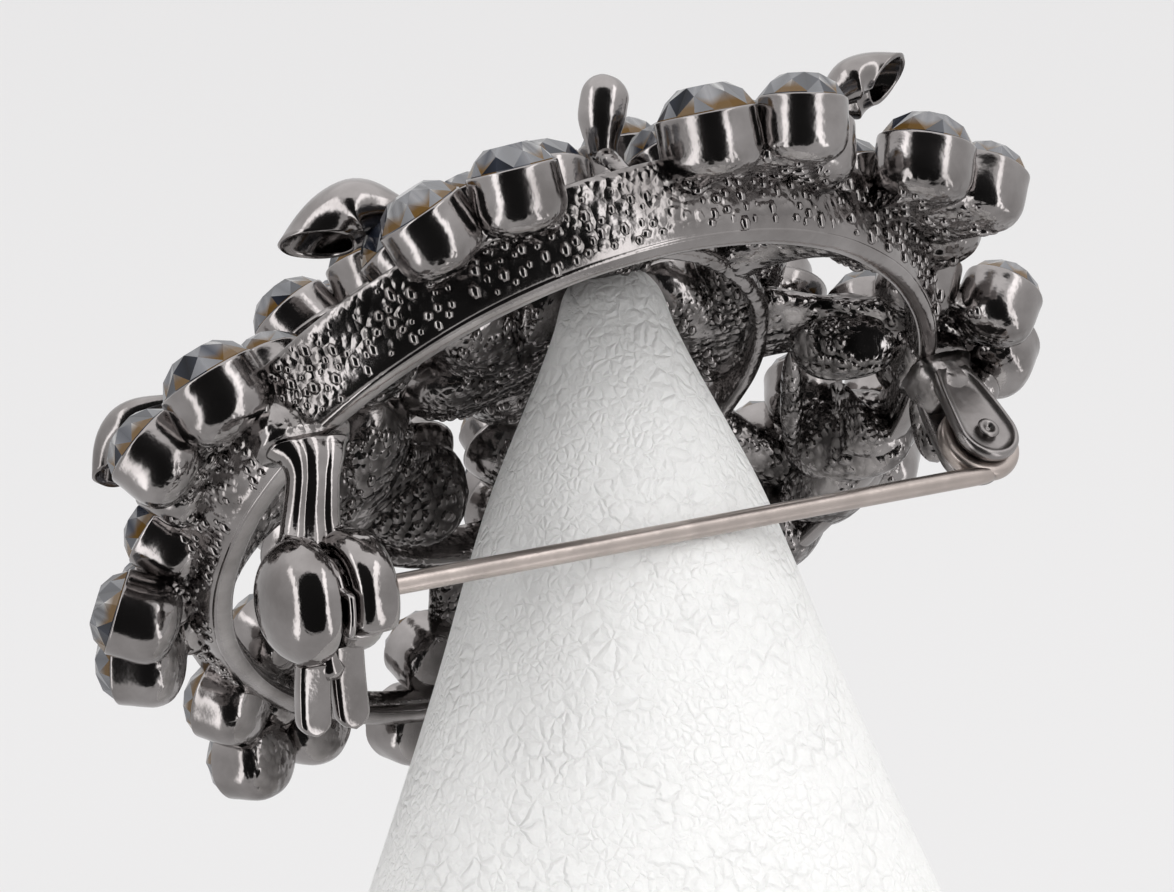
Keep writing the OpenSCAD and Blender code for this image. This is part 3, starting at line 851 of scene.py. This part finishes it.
def fluted_neck():
    """Neck of the catch, carried on a spline from the cheeks up to a flared foot under the band. Its section
    is a squared oval with three rounded flutes, |cos(pi x / w)|^0.8 deep, that fade out upwards."""
    course = [(0.1, -0.5, 2.3), (0.45, -0.95, 3.6), (0.9, -1.85, 5.1), (1.1, -2.3, 6.0), (1.15, -2.4, 6.72)]
    line = spline(course, 22)
    t = np.linspace(0, 1, 22)[:, None]
    half = 1.22 + 0.5 * (1 - t) ** 4 + 2.4 * np.maximum(t - 0.5, 0) ** 1.5
    thick = 1.0 + np.maximum(t - 0.6, 0)
    angle = round_angles(72)
    x = half * squared(np.cos(angle), 0.8)
    flute = 0.66 + 0.24 * (1 - 0.75 * t) * np.abs(np.cos(np.pi * x / (half * 0.667))) ** 0.8
    y = flute * thick * squared(np.sin(angle), 0.6)
    heading = unit(np.gradient(line, axis=0))
    side = unit(np.cross((0, -1, 0), heading))
    return wrapped(placed(swept(line, side, x, np.cross(heading, side), y), STEM))


def blade(where, length, width, thick):
    """Tab leaf: a rounded bar whose half width ends in a half circle, sqrt(1 - u^2) over its last part, with
    a slight dish along its length. It runs down negative z from its frame's origin."""
    t = np.linspace(0, 1, 26)[:, None]
    run = length * t
    round_part = np.clip((run - (length - width / 2)) / (width / 2), 0, 1)
    half = width / 2 * np.sqrt(np.maximum(1 - round_part**2, 0.004))
    slim = thick / 2 * (1 - 0.35 * round_part**2)
    dish = 0.12 * np.sin(np.pi * t)
    wide, deep = squared_circle(32, 0.45)
    return wrapped(placed(stacked(half * wide, slim * deep + dish, -run), where))


class BroochSizes(bpy.types.PropertyGroup):
    """Sizes of the finished surfaces."""

    bead: bpy.props.FloatProperty(
        name="Bead", description="Size of the cast beads on the back", default=0.00058, min=0.0003,
        max=0.0009, subtype="DISTANCE", unit="LENGTH",
    )
    bead_rise: bpy.props.FloatProperty(
        name="Bead rise", description="Height of the beads in the metal's relief", default=0.00016, min=0.0,
        max=0.0004, subtype="DISTANCE", unit="LENGTH",
    )
    seed: bpy.props.IntProperty(
        name="Seed", description="Seed of the beads' scatter", default=11, min=0, subtype="UNSIGNED"
    )


class BroochColours(bpy.types.PropertyGroup):
    """Colours of the metal, the stones and the cone."""

    metal: bpy.props.FloatVectorProperty(
        name="Metal", description="Bright tone of the dark plating", default=(0.37, 0.35, 0.345),
        subtype="COLOR", size=3, min=0, max=1,
    )
    metal_dark: bpy.props.FloatVectorProperty(
        name="Dark metal", description="Dark tone of the plating", default=(0.22, 0.205, 0.2),
        subtype="COLOR", size=3, min=0, max=1,
    )
    wire: bpy.props.FloatVectorProperty(
        name="Wire", description="Tone of the pin wire", default=(0.55, 0.485, 0.45),
        subtype="COLOR", size=3, min=0, max=1,
    )
    smoke: bpy.props.FloatVectorProperty(
        name="Smoke", description="Body tone of the stones", default=(0.022, 0.026, 0.038),
        subtype="COLOR", size=3, min=0, max=1,
    )
    # No foil is modelled: this colour is painted on the stones' facets near the girdle as a painted
    # reflection of the foil
    foil: bpy.props.FloatVectorProperty(
        name="Foil", description="Gold-brown foil behind the stones", default=(0.115, 0.063, 0.017),
        subtype="COLOR", size=3, min=0, max=1,
    )
    leatherette: bpy.props.FloatVectorProperty(
        name="Leatherette", description="White of the cone's cover", default=(0.9, 0.9, 0.888),
        subtype="COLOR", size=3, min=0, max=1,
    )


class StageSettings(bpy.types.PropertyGroup):
    """The floor and the light."""

    floor_tone: bpy.props.FloatProperty(
        name="Floor tone", description="Grey value of the floor", default=0.22, min=0, max=1, subtype="FACTOR"
    )
    floor_glow: bpy.props.FloatProperty(
        name="Floor glow", description="Even light of the floor, which keeps it seamless", default=0.59,
        min=0, max=2, subtype="FACTOR",
    )
    key_power: bpy.props.FloatProperty(
        name="Key light", description="Strength of the large soft light", default=1.75, min=0, unit="POWER"
    )
    surround: bpy.props.FloatProperty(
        name="Surround", description="Brightness of the white surround", default=0.80, min=0, max=2,
        subtype="FACTOR",
    )


class MakeBands(bpy.types.Operator):
    """Makes the back band with its flared skirt and the raised inner band"""

    bl_idname = "brooch.bands"
    bl_label = "Bands"

    def execute(self, context):
        face = [
            (19.0, 0.16), (19.1, 0.04), (19.45, -0.02), (19.85, 0.02), (20.02, 0.12), (20.05, 0.4),
            (19.8, 0.7), (19.15, 0.8), (18.98, 0.5),
        ]
        skirt = [
            (19.8, 0.2), (20.2, 0.28), (20.6, 0.9), (21.2, 2.2), (21.8, 3.3), (21.5, 3.6), (20.2, 3.1),
            (19.4, 2.6), (19.05, 1.6), (19.02, 0.7),
        ]
        inner = [(12.1, 5.5), (12.5, 5.2), (13.0, 5.4), (13.2, 6.3), (13.1, 7.3), (12.6, 7.6), (12.15, 7.2)]
        skirt = spline(skirt, 60, closed=True)
        skirt_grain = rounded_step((skirt[:, 1] - 0.25) / 0.4) * 0.35
        skirt_skin = ringed(skirt, 360, skirt_grain, wave=0.04)
        skirt_skin.points = far_lowered(skirt_skin.points)
        skins = [
            ringed(spline(face, 36, closed=True), 360, 0.0, wave=0.02),
            skirt_skin,
            ringed(spline(inner, 28, closed=True), 200, 0.35, wave=0.03),
        ]
        metal = plating(context.scene)
        put_mesh("bands", [skin.moved(BROOCH) for skin in skins], metal, ["casting"])
        return {"FINISHED"}


class MakeFlowerBacks(bpy.types.Operator):
    """Makes the lobed backs of all the flowers"""

    bl_idname = "brooch.flower_backs"
    bl_label = "Flower backs"

    def execute(self, context):
        metal = plating(context.scene)
        put_mesh("outer_flower_backs", [outer_back(f) for f in OUTER_FLOWERS], metal)
        put_mesh("raised_flower_backs", [raised_back(f) for f in RAISED_FLOWERS], metal)
        return {"FINISHED"}


class MakeCups(bpy.types.Operator):
    """Makes the cups that hold the stones"""

    bl_idname = "brooch.cups"
    bl_label = "Stone cups"

    def execute(self, context):
        for name, flowers, depth, rough in (
            ("outer_cups", OUTER_FLOWERS, OUTER_DEPTH, 0.35),
            ("raised_cups", RAISED_FLOWERS, RAISED_CUP, 1.0),
        ):
            by_size = {SMALL_STONE: [], LARGE_STONE: [], CENTRE_STONE: []}
            for flower in flowers:
                for petal in range(PETALS):
                    by_size[stone_size(flower, petal)].append(BROOCH @ petal_frame(flower, petal))
                by_size[CENTRE_STONE].append(BROOCH @ middle_frame(flower))
            skins = [stone_cup(d, depth, rough).copied(frames) for d, frames in by_size.items() if frames]
            put_mesh(name, skins, plating(context.scene))
        return {"FINISHED"}


class MakeWebs(bpy.types.Operator):
    """Makes the cast webs of the raised flowers, the cast lumps and the pads of the findings"""

    bl_idname = "brooch.webs"
    bl_label = "Webs"

    def execute(self, context):
        skins = self.webs() + self.lumps() + self.saddles() + self.pads()
        put_mesh("webs", skins, plating(context.scene))
        return {"FINISHED"}

    def webs(self):
        """Four webs beside each inner flower: two to the outer band, one to the flower, one to the middle."""
        skins = []
        for flower in INNER_FLOWERS:
            for offset, (r, z), (end_r, end_z), half_width, bow in WEBS:
                web = strut((r, 0, z), (end_r, 0, end_z), half_width, WEB_HALF_HEIGHT, bow)
                skins.append(web.moved(BROOCH @ turned(z=flower[0] + offset)))
        return skins

    def lumps(self):
        """Rounded lumps seen behind the flowers."""
        up = (0.0, 0.87, 0.49)
        skins = [strut(a, b, w, h, up=up, rows=28, sides=32, rounded=True) for a, b, w, h in LUMPS]
        return [skin.moved(BROOCH) for skin in skins]

    def saddles(self):
        """Thick places of the far band at three turns."""
        skins = []
        for turn, half_width in ((38, 1.6), (52, 2.6), (66, 1.8)):
            saddle = strut((17.3, 0, 2.6), (21.9, 0, 2.6), half_width, 1.3, bow=-1.6, rows=20, sides=36)
            skins.append(saddle.moved(BROOCH @ turned(z=turn)))
        return skins

    def pads(self):
        """Pads on the band under the catch and the hinge."""
        where = BROOCH @ shifted(*CATCH_AT[:2]) @ turned(z=STEM_TURN)
        return [
            post(1.1, -2.3, half_x=2.3, half_y=1.45, rows=PAD_ROWS, sides=40, where=where, grain=0.3),
            post(HINGE[0], 0.0, half_x=1.85, half_y=1.75, rows=PAD_ROWS, sides=40, where=where, grain=0.3),
        ]


class MakeLeaves(bpy.types.Operator):
    """Makes the curled leaves and their stalks"""

    bl_idname = "brooch.leaves"
    bl_label = "Leaves"

    def execute(self, context):
        skins = [leaf_skin(*leaf) for leaf in LEAVES] + [stalk_skin(leaf[0]) for leaf in LEAVES]
        put_mesh("leaves", skins, plating(context.scene))
        return {"FINISHED"}


class MakeBeads(bpy.types.Operator):
    """Makes the cast beads on the skirt and on the flowers' backs"""

    bl_idname = "brooch.beads"
    bl_label = "Cast beads"

    def execute(self, context):
        sizes = context.scene.brooch_sizes
        rng = np.random.default_rng(sizes.seed)
        radius = sizes.bead / MM / 2
        metal = plating(context.scene)
        put_mesh("skirt_beads", [self.on_skirt(radius, rng)], metal)
        skins = [self.on_back(outer_back(f), radius, rng) for f in OUTER_FLOWERS]
        skins += [self.on_back(raised_back(f), radius, rng) for f in RAISED_FLOWERS]
        cup = self.on_back(stone_cup(SMALL_STONE, RAISED_CUP, 1.0), radius * 1.1, rng)
        skins.append(cup.copied([BROOCH @ petal_frame(f, p) for f in RAISED_FLOWERS for p in range(PETALS)]))
        put_mesh("back_beads", skins, metal)
        return {"FINISHED"}

    def on_skirt(self, radius, rng):
        """Beads in six staggered rows round the skirt, with seeded gaps, places, sizes and lengths."""
        per_row = int(2 * np.pi * BEAD_ROW_RADIUS / (radius * 2.25))
        row, step = np.meshgrid(np.arange(len(BEAD_ROWS)), np.arange(per_row), indexing="ij")
        angle = 2 * np.pi * (step + 0.5 * (row % 2)) / per_row + rng.normal(0, 0.006, row.shape)
        r = BEAD_ROWS[row, 0] - 0.06 + rng.normal(0, 0.04, row.shape)
        z = BEAD_ROWS[row, 1] + rng.normal(0, 0.12, row.shape)
        points = polar(r, angle, z).reshape(-1, 3)
        normals = polar(0.9, angle, -0.43).reshape(-1, 3)
        scale = radius * rng.uniform(0.55, 1.15, len(points))
        keep = rng.uniform(0, 1, len(points)) < BEADS_KEPT
        stretch = rng.uniform(0.85, 1.6, len(points))
        frames = standing_frames(far_lowered(points), normals, scale, stretch)[keep]
        return bead_skin().copied(BROOCH @ frames)

    def on_back(self, body, radius, rng):
        """Beads at scattered quads of a back, each along its quad's normal."""
        corners = body.points[body.quads]
        middle = corners.mean(1)
        normal = np.cross(corners[:, 2] - corners[:, 0], corners[:, 3] - corners[:, 1])
        area = np.linalg.norm(normal, axis=1) / 2
        chance = area * rounded_step((body.grain[body.quads[:, 0]] - 0.4) / 0.4)
        count = int(chance.sum() / (radius * 3.6) ** 2)
        chosen = rng.choice(len(middle), size=min(count, MOST_BEADS), replace=False, p=chance / chance.sum())
        scale = radius * rng.uniform(0.5, 1.2, len(chosen))
        stretch = rng.uniform(0.9, 1.8, len(chosen))
        return bead_skin().copied(standing_frames(middle[chosen], normal[chosen], scale, stretch))


class MakeStones(bpy.types.Operator):
    """Makes the cut stones of the petals and of the flowers' middles"""

    bl_idname = "brooch.stones"
    bl_label = "Stones"

    def execute(self, context):
        colours = context.scene.brooch_colours
        material = stone_material("smoky_cut_stone", colours.smoke, colours.foil)
        flowers = OUTER_FLOWERS + RAISED_FLOWERS
        petals = [(stone_size(f, p), petal_frame(f, p)) for f in flowers for p in range(PETALS)]
        middles = [(CENTRE_STONE, middle_frame(f)) for f in flowers]
        singles = sorted(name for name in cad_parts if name.startswith("stone_"))
        put_stones("petal_stones", material, petals, singles + ["inner_stones"])
        put_stones("middle_stones", material, middles, ["centre_stones"])
        return {"FINISHED"}


class MakeCatch(bpy.types.Operator):
    """Makes the catch: two round cheeks with a fluted neck, and the turning lever with its forked tab"""

    bl_idname = "brooch.catch"
    bl_label = "Catch"

    def execute(self, context):
        metal = plating(context.scene, "polished_plating")
        put_mesh("catch_cheeks", self.housing(), metal, ["catch_housing"])
        put_mesh("catch_turning_lever", self.lever(), metal, ["catch_lever"], body="lever")
        return {"FINISHED"}

    def housing(self):
        """A closed cheek with a blind hole, an open one with the mouth, a bridge behind them and the neck."""
        dome = profile_spline(
            [
                (0.0, -3.12), (0.8, -3.08), (1.6, -2.88), (2.35, -2.4), (2.85, -1.7), (2.98, -1.1),
                (2.85, -0.62), (2.6, -0.5), (1.4, -0.5), (1.25, -0.62), (1.22, -2.1), (0.6, -2.3),
                (0.0, -2.3),
            ],
            60,
        )
        closed_cheek = lathed(dome, 96).moved(STEM @ turned(y=90))
        open_cheek = split_ring(1.5, radius=2.1, half_out=0.88, half_along=1.1, gap=0.62, far_taper=0.8)
        bridge = strut((-1.5, 0.0, 2.66), (1.5, 0.0, 2.66), half_width=1.25, half_height=0.22).moved(STEM)
        return [closed_cheek, open_cheek, fluted_neck(), bridge]

    def lever(self):
        """A split plate on a split sleeve, with two tab leaves on a shank."""
        plate = split_ring(0.0, radius=1.4, half_out=0.66, half_along=0.34, gap=0.58, bulge=0.88)
        sleeve = split_ring(0.0, radius=0.84, half_out=0.12, half_along=1.55, gap=0.58)
        tab = STEM @ turned(x=48)
        leaves = []
        for side, start in ((-1, -3.0), (1, -2.3)):
            root = tab @ shifted(side * 0.84, 0, start) @ turned(y=-side * 2.5)
            leaves.append(blade(root, length=6.4 + start, width=1.66, thick=0.9))
        line = np.array([(0, 0, -2.2), (0, 0, -2.8), (0, 0, -3.3), (0, 0, -3.8)])
        shank = tube(placed(line, tab), (0.4, 0.45, 0.7, 0.5))
        return [plate, sleeve, shank] + leaves


class MakeHinge(bpy.types.Operator):
    """Makes the hinge: two rounded ears on a foot, and the rivet with its dimpled heads"""

    bl_idname = "brooch.hinge"
    bl_label = "Hinge"

    def execute(self, context):
        metal = plating(context.scene, "satin_plating")
        ears = [self.ear(side * (WIRE_RADIUS + 0.47), side) for side in (-1, 1)]
        foot = post(HINGE[0], 0.0, half_x=1.55, half_y=1.35, rows=FOOT_ROWS, sides=32, where=STEM, grain=0.2)
        put_mesh("hinge_ears", ears + [foot], metal, ["hinge_bracket"])
        put_mesh("hinge_pin", [self.rivet()], metal, ["hinge_rivet"])
        return {"FINISHED"}

    def rivet(self):
        """Rivet across the ears: one half's profile and its mirror image, turned round the rivet's axis."""
        half = profile_spline(
            [
                (0.0, 1.28), (0.12, 1.27), (0.2, 1.34), (0.36, 1.46), (0.52, 1.44), (0.6, 1.36), (0.44, 1.3),
                (0.44, 0.6), (1.33, 0.5), (1.35, 0.0),
            ],
            34,
        )
        profile = np.concatenate([half, half[::-1][1:] * (1, -1)])
        return lathed(profile, 64).moved(STEM @ shifted(*HINGE) @ turned(x=90))

    def ear(self, y, outside):
        """Ear of the hinge: rings of one outline, a circle whose upper side is drawn out to the band, stepped
        in from a raised rim to a sunk face on the outside and flat on the inside."""
        angle = round_angles(72)
        stretch = rounded_step((np.sin(angle) - 0.05) / 0.8)
        x = 1.78 * np.cos(angle) * (1 - 0.1 * stretch)
        z = 1.78 * np.sin(angle) + stretch * 3.0
        rows = np.array([
            (-0.3, 0.3), (-0.3, 0.86), (-0.2, 0.97), (0.0, 1.0), (0.26, 0.99), (0.4, 0.93), (0.44, 0.86),
            (0.36, 0.8), (0.22, 0.74), (0.16, 0.6), (0.16, 0.3),
        ])
        depth, share = rows[:, :1], rows[:, 1:]
        grid = stacked(HINGE[0] + x * share, y + outside * depth, HINGE[2] + z * share)
        return wrapped(placed(grid, STEM))


class MakeStem(bpy.types.Operator):
    """Makes the pin stem: a drawn wire with a ground point and an eye round the hinge pin"""

    bl_idname = "brooch.stem"
    bl_label = "Pin stem"

    def execute(self, context):
        tone = context.scene.brooch_colours.wire
        dark = tuple(0.72 * c for c in tone)
        material = metal_material(
            "drawn_wire", tone, dark, bead_size=0.0005, bead_depth=0.00002, roughness=0.21
        )
        x = np.concatenate([np.linspace(-0.42, 1.6, 14), np.linspace(2.2, HINGE[0], 60)])
        stations = [-0.42, -0.3, 0.4, 1.3, 37.0, 37.8, 38.3]
        radius = WIRE_RADIUS * np.interp(x, stations, [0.2, 0.38, 0.76, 1.0, 1.0, 0.92, 0.6])
        wire = tube(placed(stacked(x, 0.0, 0.0), STEM), radius, 28)
        eye = [(1.43, -0.42), (1.43, 0.42), (1.8, 0.5), (2.14, 0.36), (2.24, 0.0), (2.14, -0.36), (1.8, -0.5)]
        ring = ringed(spline(eye, 32, closed=True), 72).moved(STEM @ shifted(*HINGE) @ turned(x=90))
        put_mesh("pin_wire", [wire, ring], material, ["pin_stem"], body="stem")
        return {"FINISHED"}


class MakeCone(bpy.types.Operator):
    """Makes the covered display cone with its blunt tip"""

    bl_idname = "brooch.cone"
    bl_label = "Display cone"

    def execute(self, context):
        outline = profile_spline(
            [
                (20.3, 0.35), (19.4, 2.2), (16.6, 9.0), (13.2, 17.4), (10.3, 25.0), (8.2, 31.0), (6.9, 34.4),
                (5.65, 37.1), (4.15, 40.2), (3.1, 42.6), (2.4, 44.6), (1.3, 45.7), (0.0, 46.0),
            ],
            130,
        )
        base = [(0.0, 0.0), (10.0, 0.0), (19.9, 0.0), (20.25, 0.12)]
        skin = lathed(np.concatenate([base, outline]), 160)
        angle = np.arctan2(skin.points[:, 1], skin.points[:, 0])
        height = np.clip((skin.points[:, 2] - 0.5) / 45, 0, 1)
        # Soft pleats: seven waves round the cone, which turn with the height and fade at its base and tip
        pleat = 0.045 * np.sin(7 * angle + 3 * height) * height**2 * (1 - height) * 6
        skin.points = skin.points + polar(pleat, angle, 0.0)
        material = leatherette_material("white_leatherette", context.scene.brooch_colours.leatherette)
        put_mesh("cone_cover", [skin], material, ["display_cone"])
        return {"FINISHED"}


class MakeStage(bpy.types.Operator):
    """Makes the camera, the pale floor and the soft light"""

    bl_idname = "brooch.stage"
    bl_label = "Stage"

    def execute(self, context):
        scene = context.scene
        self.camera(scene)
        self.floor(scene)
        self.surround(scene)
        self.lamps(scene)
        scene.view_settings.view_transform = "Standard"
        return {"FINISHED"}

    def camera(self, scene):
        """Camera from its place and axes, with the photograph's lens."""
        data = bpy.data.cameras.new("photo_camera")
        data.sensor_width = CAMERA_SENSOR
        data.lens = CAMERA_LENS
        data.clip_start = 0.005
        camera = bpy.data.objects.new("photo_camera", data)
        pose = Matrix([list(row) for row in zip(*CAMERA_AXES)]).to_4x4()
        pose.translation = [c * MM for c in CAMERA_AT]
        camera.matrix_world = pose
        scene.collection.objects.link(camera)
        scene.camera = camera

    def floor_material(self, settings):
        """Pale matte grey with an even glow, so that the sweep stays seamless."""
        material, net, shader = new_material("pale_sweep")
        tone = settings.floor_tone
        shade = net.blend(net.noise(net.place(), 14.0, 2.0), (tone * 0.995,) * 3, (tone,) * 3)
        net.set(shader, Base_Color=shade, Roughness=0.9, Specular_IOR_Level=0.0)
        net.set(shader, Emission_Color=LIGHT_TINT, Emission_Strength=settings.floor_glow)
        return material

    def floor(self, scene):
        """Pale sweep in metres: a flat floor that rises in a quarter circle to a wall all round. It is seen
        and takes shadows, and lets the surround's light through."""
        rise = np.radians(np.linspace(0, 90, 24))
        profile = np.concatenate([
            [(0.0, 0.0), (0.3, 0.0), (0.8, 0.0)],
            np.stack([SWEEP + SWEEP * np.sin(rise), SWEEP - SWEEP * np.cos(rise)], -1),
            [(2 * SWEEP, 2.4)],
        ])
        grid = polar(profile[:, :1], round_angles(96), profile[:, 1:])
        at = np.arange(grid.shape[0] * 96).reshape(-1, 96)
        quads = np.stack([at[:-1], at[1:], np.roll(at[1:], -1, 1), np.roll(at[:-1], -1, 1)], -1)
        mesh = bpy.data.meshes.new("floor")
        mesh.from_pydata(grid.reshape(-1, 3).tolist(), [], quads.reshape(-1, 4).tolist())
        mesh.shade_smooth()
        mesh.materials.append(self.floor_material(scene.brooch_stage))
        floor = bpy.data.objects.new("floor", mesh)
        floor.visible_diffuse = floor.visible_glossy = floor.visible_shadow = False
        scene.collection.objects.link(floor)

    def surround(self, scene):
        """White surround whose brightness depends on direction: pale all round, brighter above, with one dark
        oval on the photographer's side between two brighter strips. Each edge is a smooth step of the
        direction."""
        world = scene.world or bpy.data.worlds.new("surround")
        scene.world = world
        world.use_nodes = True
        net = Net(world.node_tree)
        way = net.add("ShaderNodeTexCoord").outputs["Generated"]
        x, y, z = net.add("ShaderNodeSeparateXYZ", way).outputs
        aside = net.maths("ABSOLUTE", net.maths("ADD", x, 0.03))
        upright = net.maths("ABSOLUTE", z)
        near = net.ramp(net.times(y, -1.0), ((0.16, 0.0), (0.26, 1.0)))
        wide = net.maths("POWER", net.maths("DIVIDE", aside, 0.55), 3.0)
        tall = net.maths("POWER", net.maths("DIVIDE", upright, 0.8), 3.0)
        oval = net.times(net.maths("ADD", wide, tall), 0.5)
        block = net.times(near, net.ramp(oval, ((0.44, 1.0), (0.52, 0.0))))
        strip = net.times(net.ramp(aside, ((0.56, 0.0), (0.6, 1.0), (0.7, 1.0), (0.76, 0.0))), near)
        above = net.ramp(z, ((0.0, 0.55), (0.3, 0.62), (0.7, 0.8), (0.78, 1.0)))
        level = net.maths("MULTIPLY_ADD", strip, 2.6, net.times(above, 1.6))
        level = net.times(level, net.maths("MULTIPLY_ADD", block, -0.975, 1.0))
        strength = net.times(level, scene.brooch_stage.surround)
        net.set(net.nodes["Background"], Color=LIGHT_TINT, Strength=strength)

    def lamps(self, scene):
        """One large soft light above right and a weaker one low in front, both aimed at the brooch."""
        for name, place, size, share in (
            ("key_light", (0.32, -0.55, 0.35), 0.45, 1.0),
            ("low_light", (-0.25, -0.65, 0.04), 0.35, 0.3),
        ):
            data = bpy.data.lights.new(name, "AREA")
            data.energy = scene.brooch_stage.key_power * share
            data.size = size
            lamp = bpy.data.objects.new(name, data)
            lamp.visible_glossy = False
            away = Vector(place) - Vector((0, 0, 0.03))
            turn = away.to_track_quat("Z", "Y").to_matrix().to_4x4()
            lamp.matrix_world = Matrix.Translation(place) @ turn
            scene.collection.objects.link(lamp)


class BroochPanel(bpy.types.Panel):
    """Lists the brooch's pieces and their settings"""

    bl_idname = "VIEW3D_PT_brooch"
    bl_label = "Flower brooch"
    bl_space_type = "VIEW_3D"
    bl_region_type = "UI"
    bl_category = "Brooch"

    def draw(self, context):
        for group_name in GROUPS:
            group = getattr(context.scene, group_name)
            box = self.layout.box()
            for name in group.bl_rna.properties.keys():
                if name not in ("rna_type", "name"):
                    box.prop(group, name)
        for maker in MAKERS:
            self.layout.operator(maker.bl_idname)


MAKERS = (
    MakeStage, MakeBands, MakeFlowerBacks, MakeCups, MakeWebs, MakeLeaves, MakeBeads, MakeStones, MakeCatch,
    MakeHinge, MakeStem, MakeCone,
)
GROUPS = {"brooch_sizes": BroochSizes, "brooch_colours": BroochColours, "brooch_stage": StageSettings}


def register():
    """Adds the property groups, the operators and the panel, and gives each scene its settings."""
    for kind in (*GROUPS.values(), *MAKERS, BroochPanel):
        bpy.utils.register_class(kind)
    for name, group in GROUPS.items():
        setattr(bpy.types.Scene, name, bpy.props.PointerProperty(type=group))


def unregister():
    """Takes out what register added."""
    for name in GROUPS:
        delattr(bpy.types.Scene, name)
    for kind in reversed((*GROUPS.values(), *MAKERS, BroochPanel)):
        bpy.utils.unregister_class(kind)


def main():
    """Registers the add-on and runs its operators in order."""
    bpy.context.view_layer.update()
    register()
    for maker in MAKERS:
        group, name = maker.bl_idname.split(".")
        getattr(getattr(bpy.ops, group), name)()


if __name__ == "__main__":
    main()
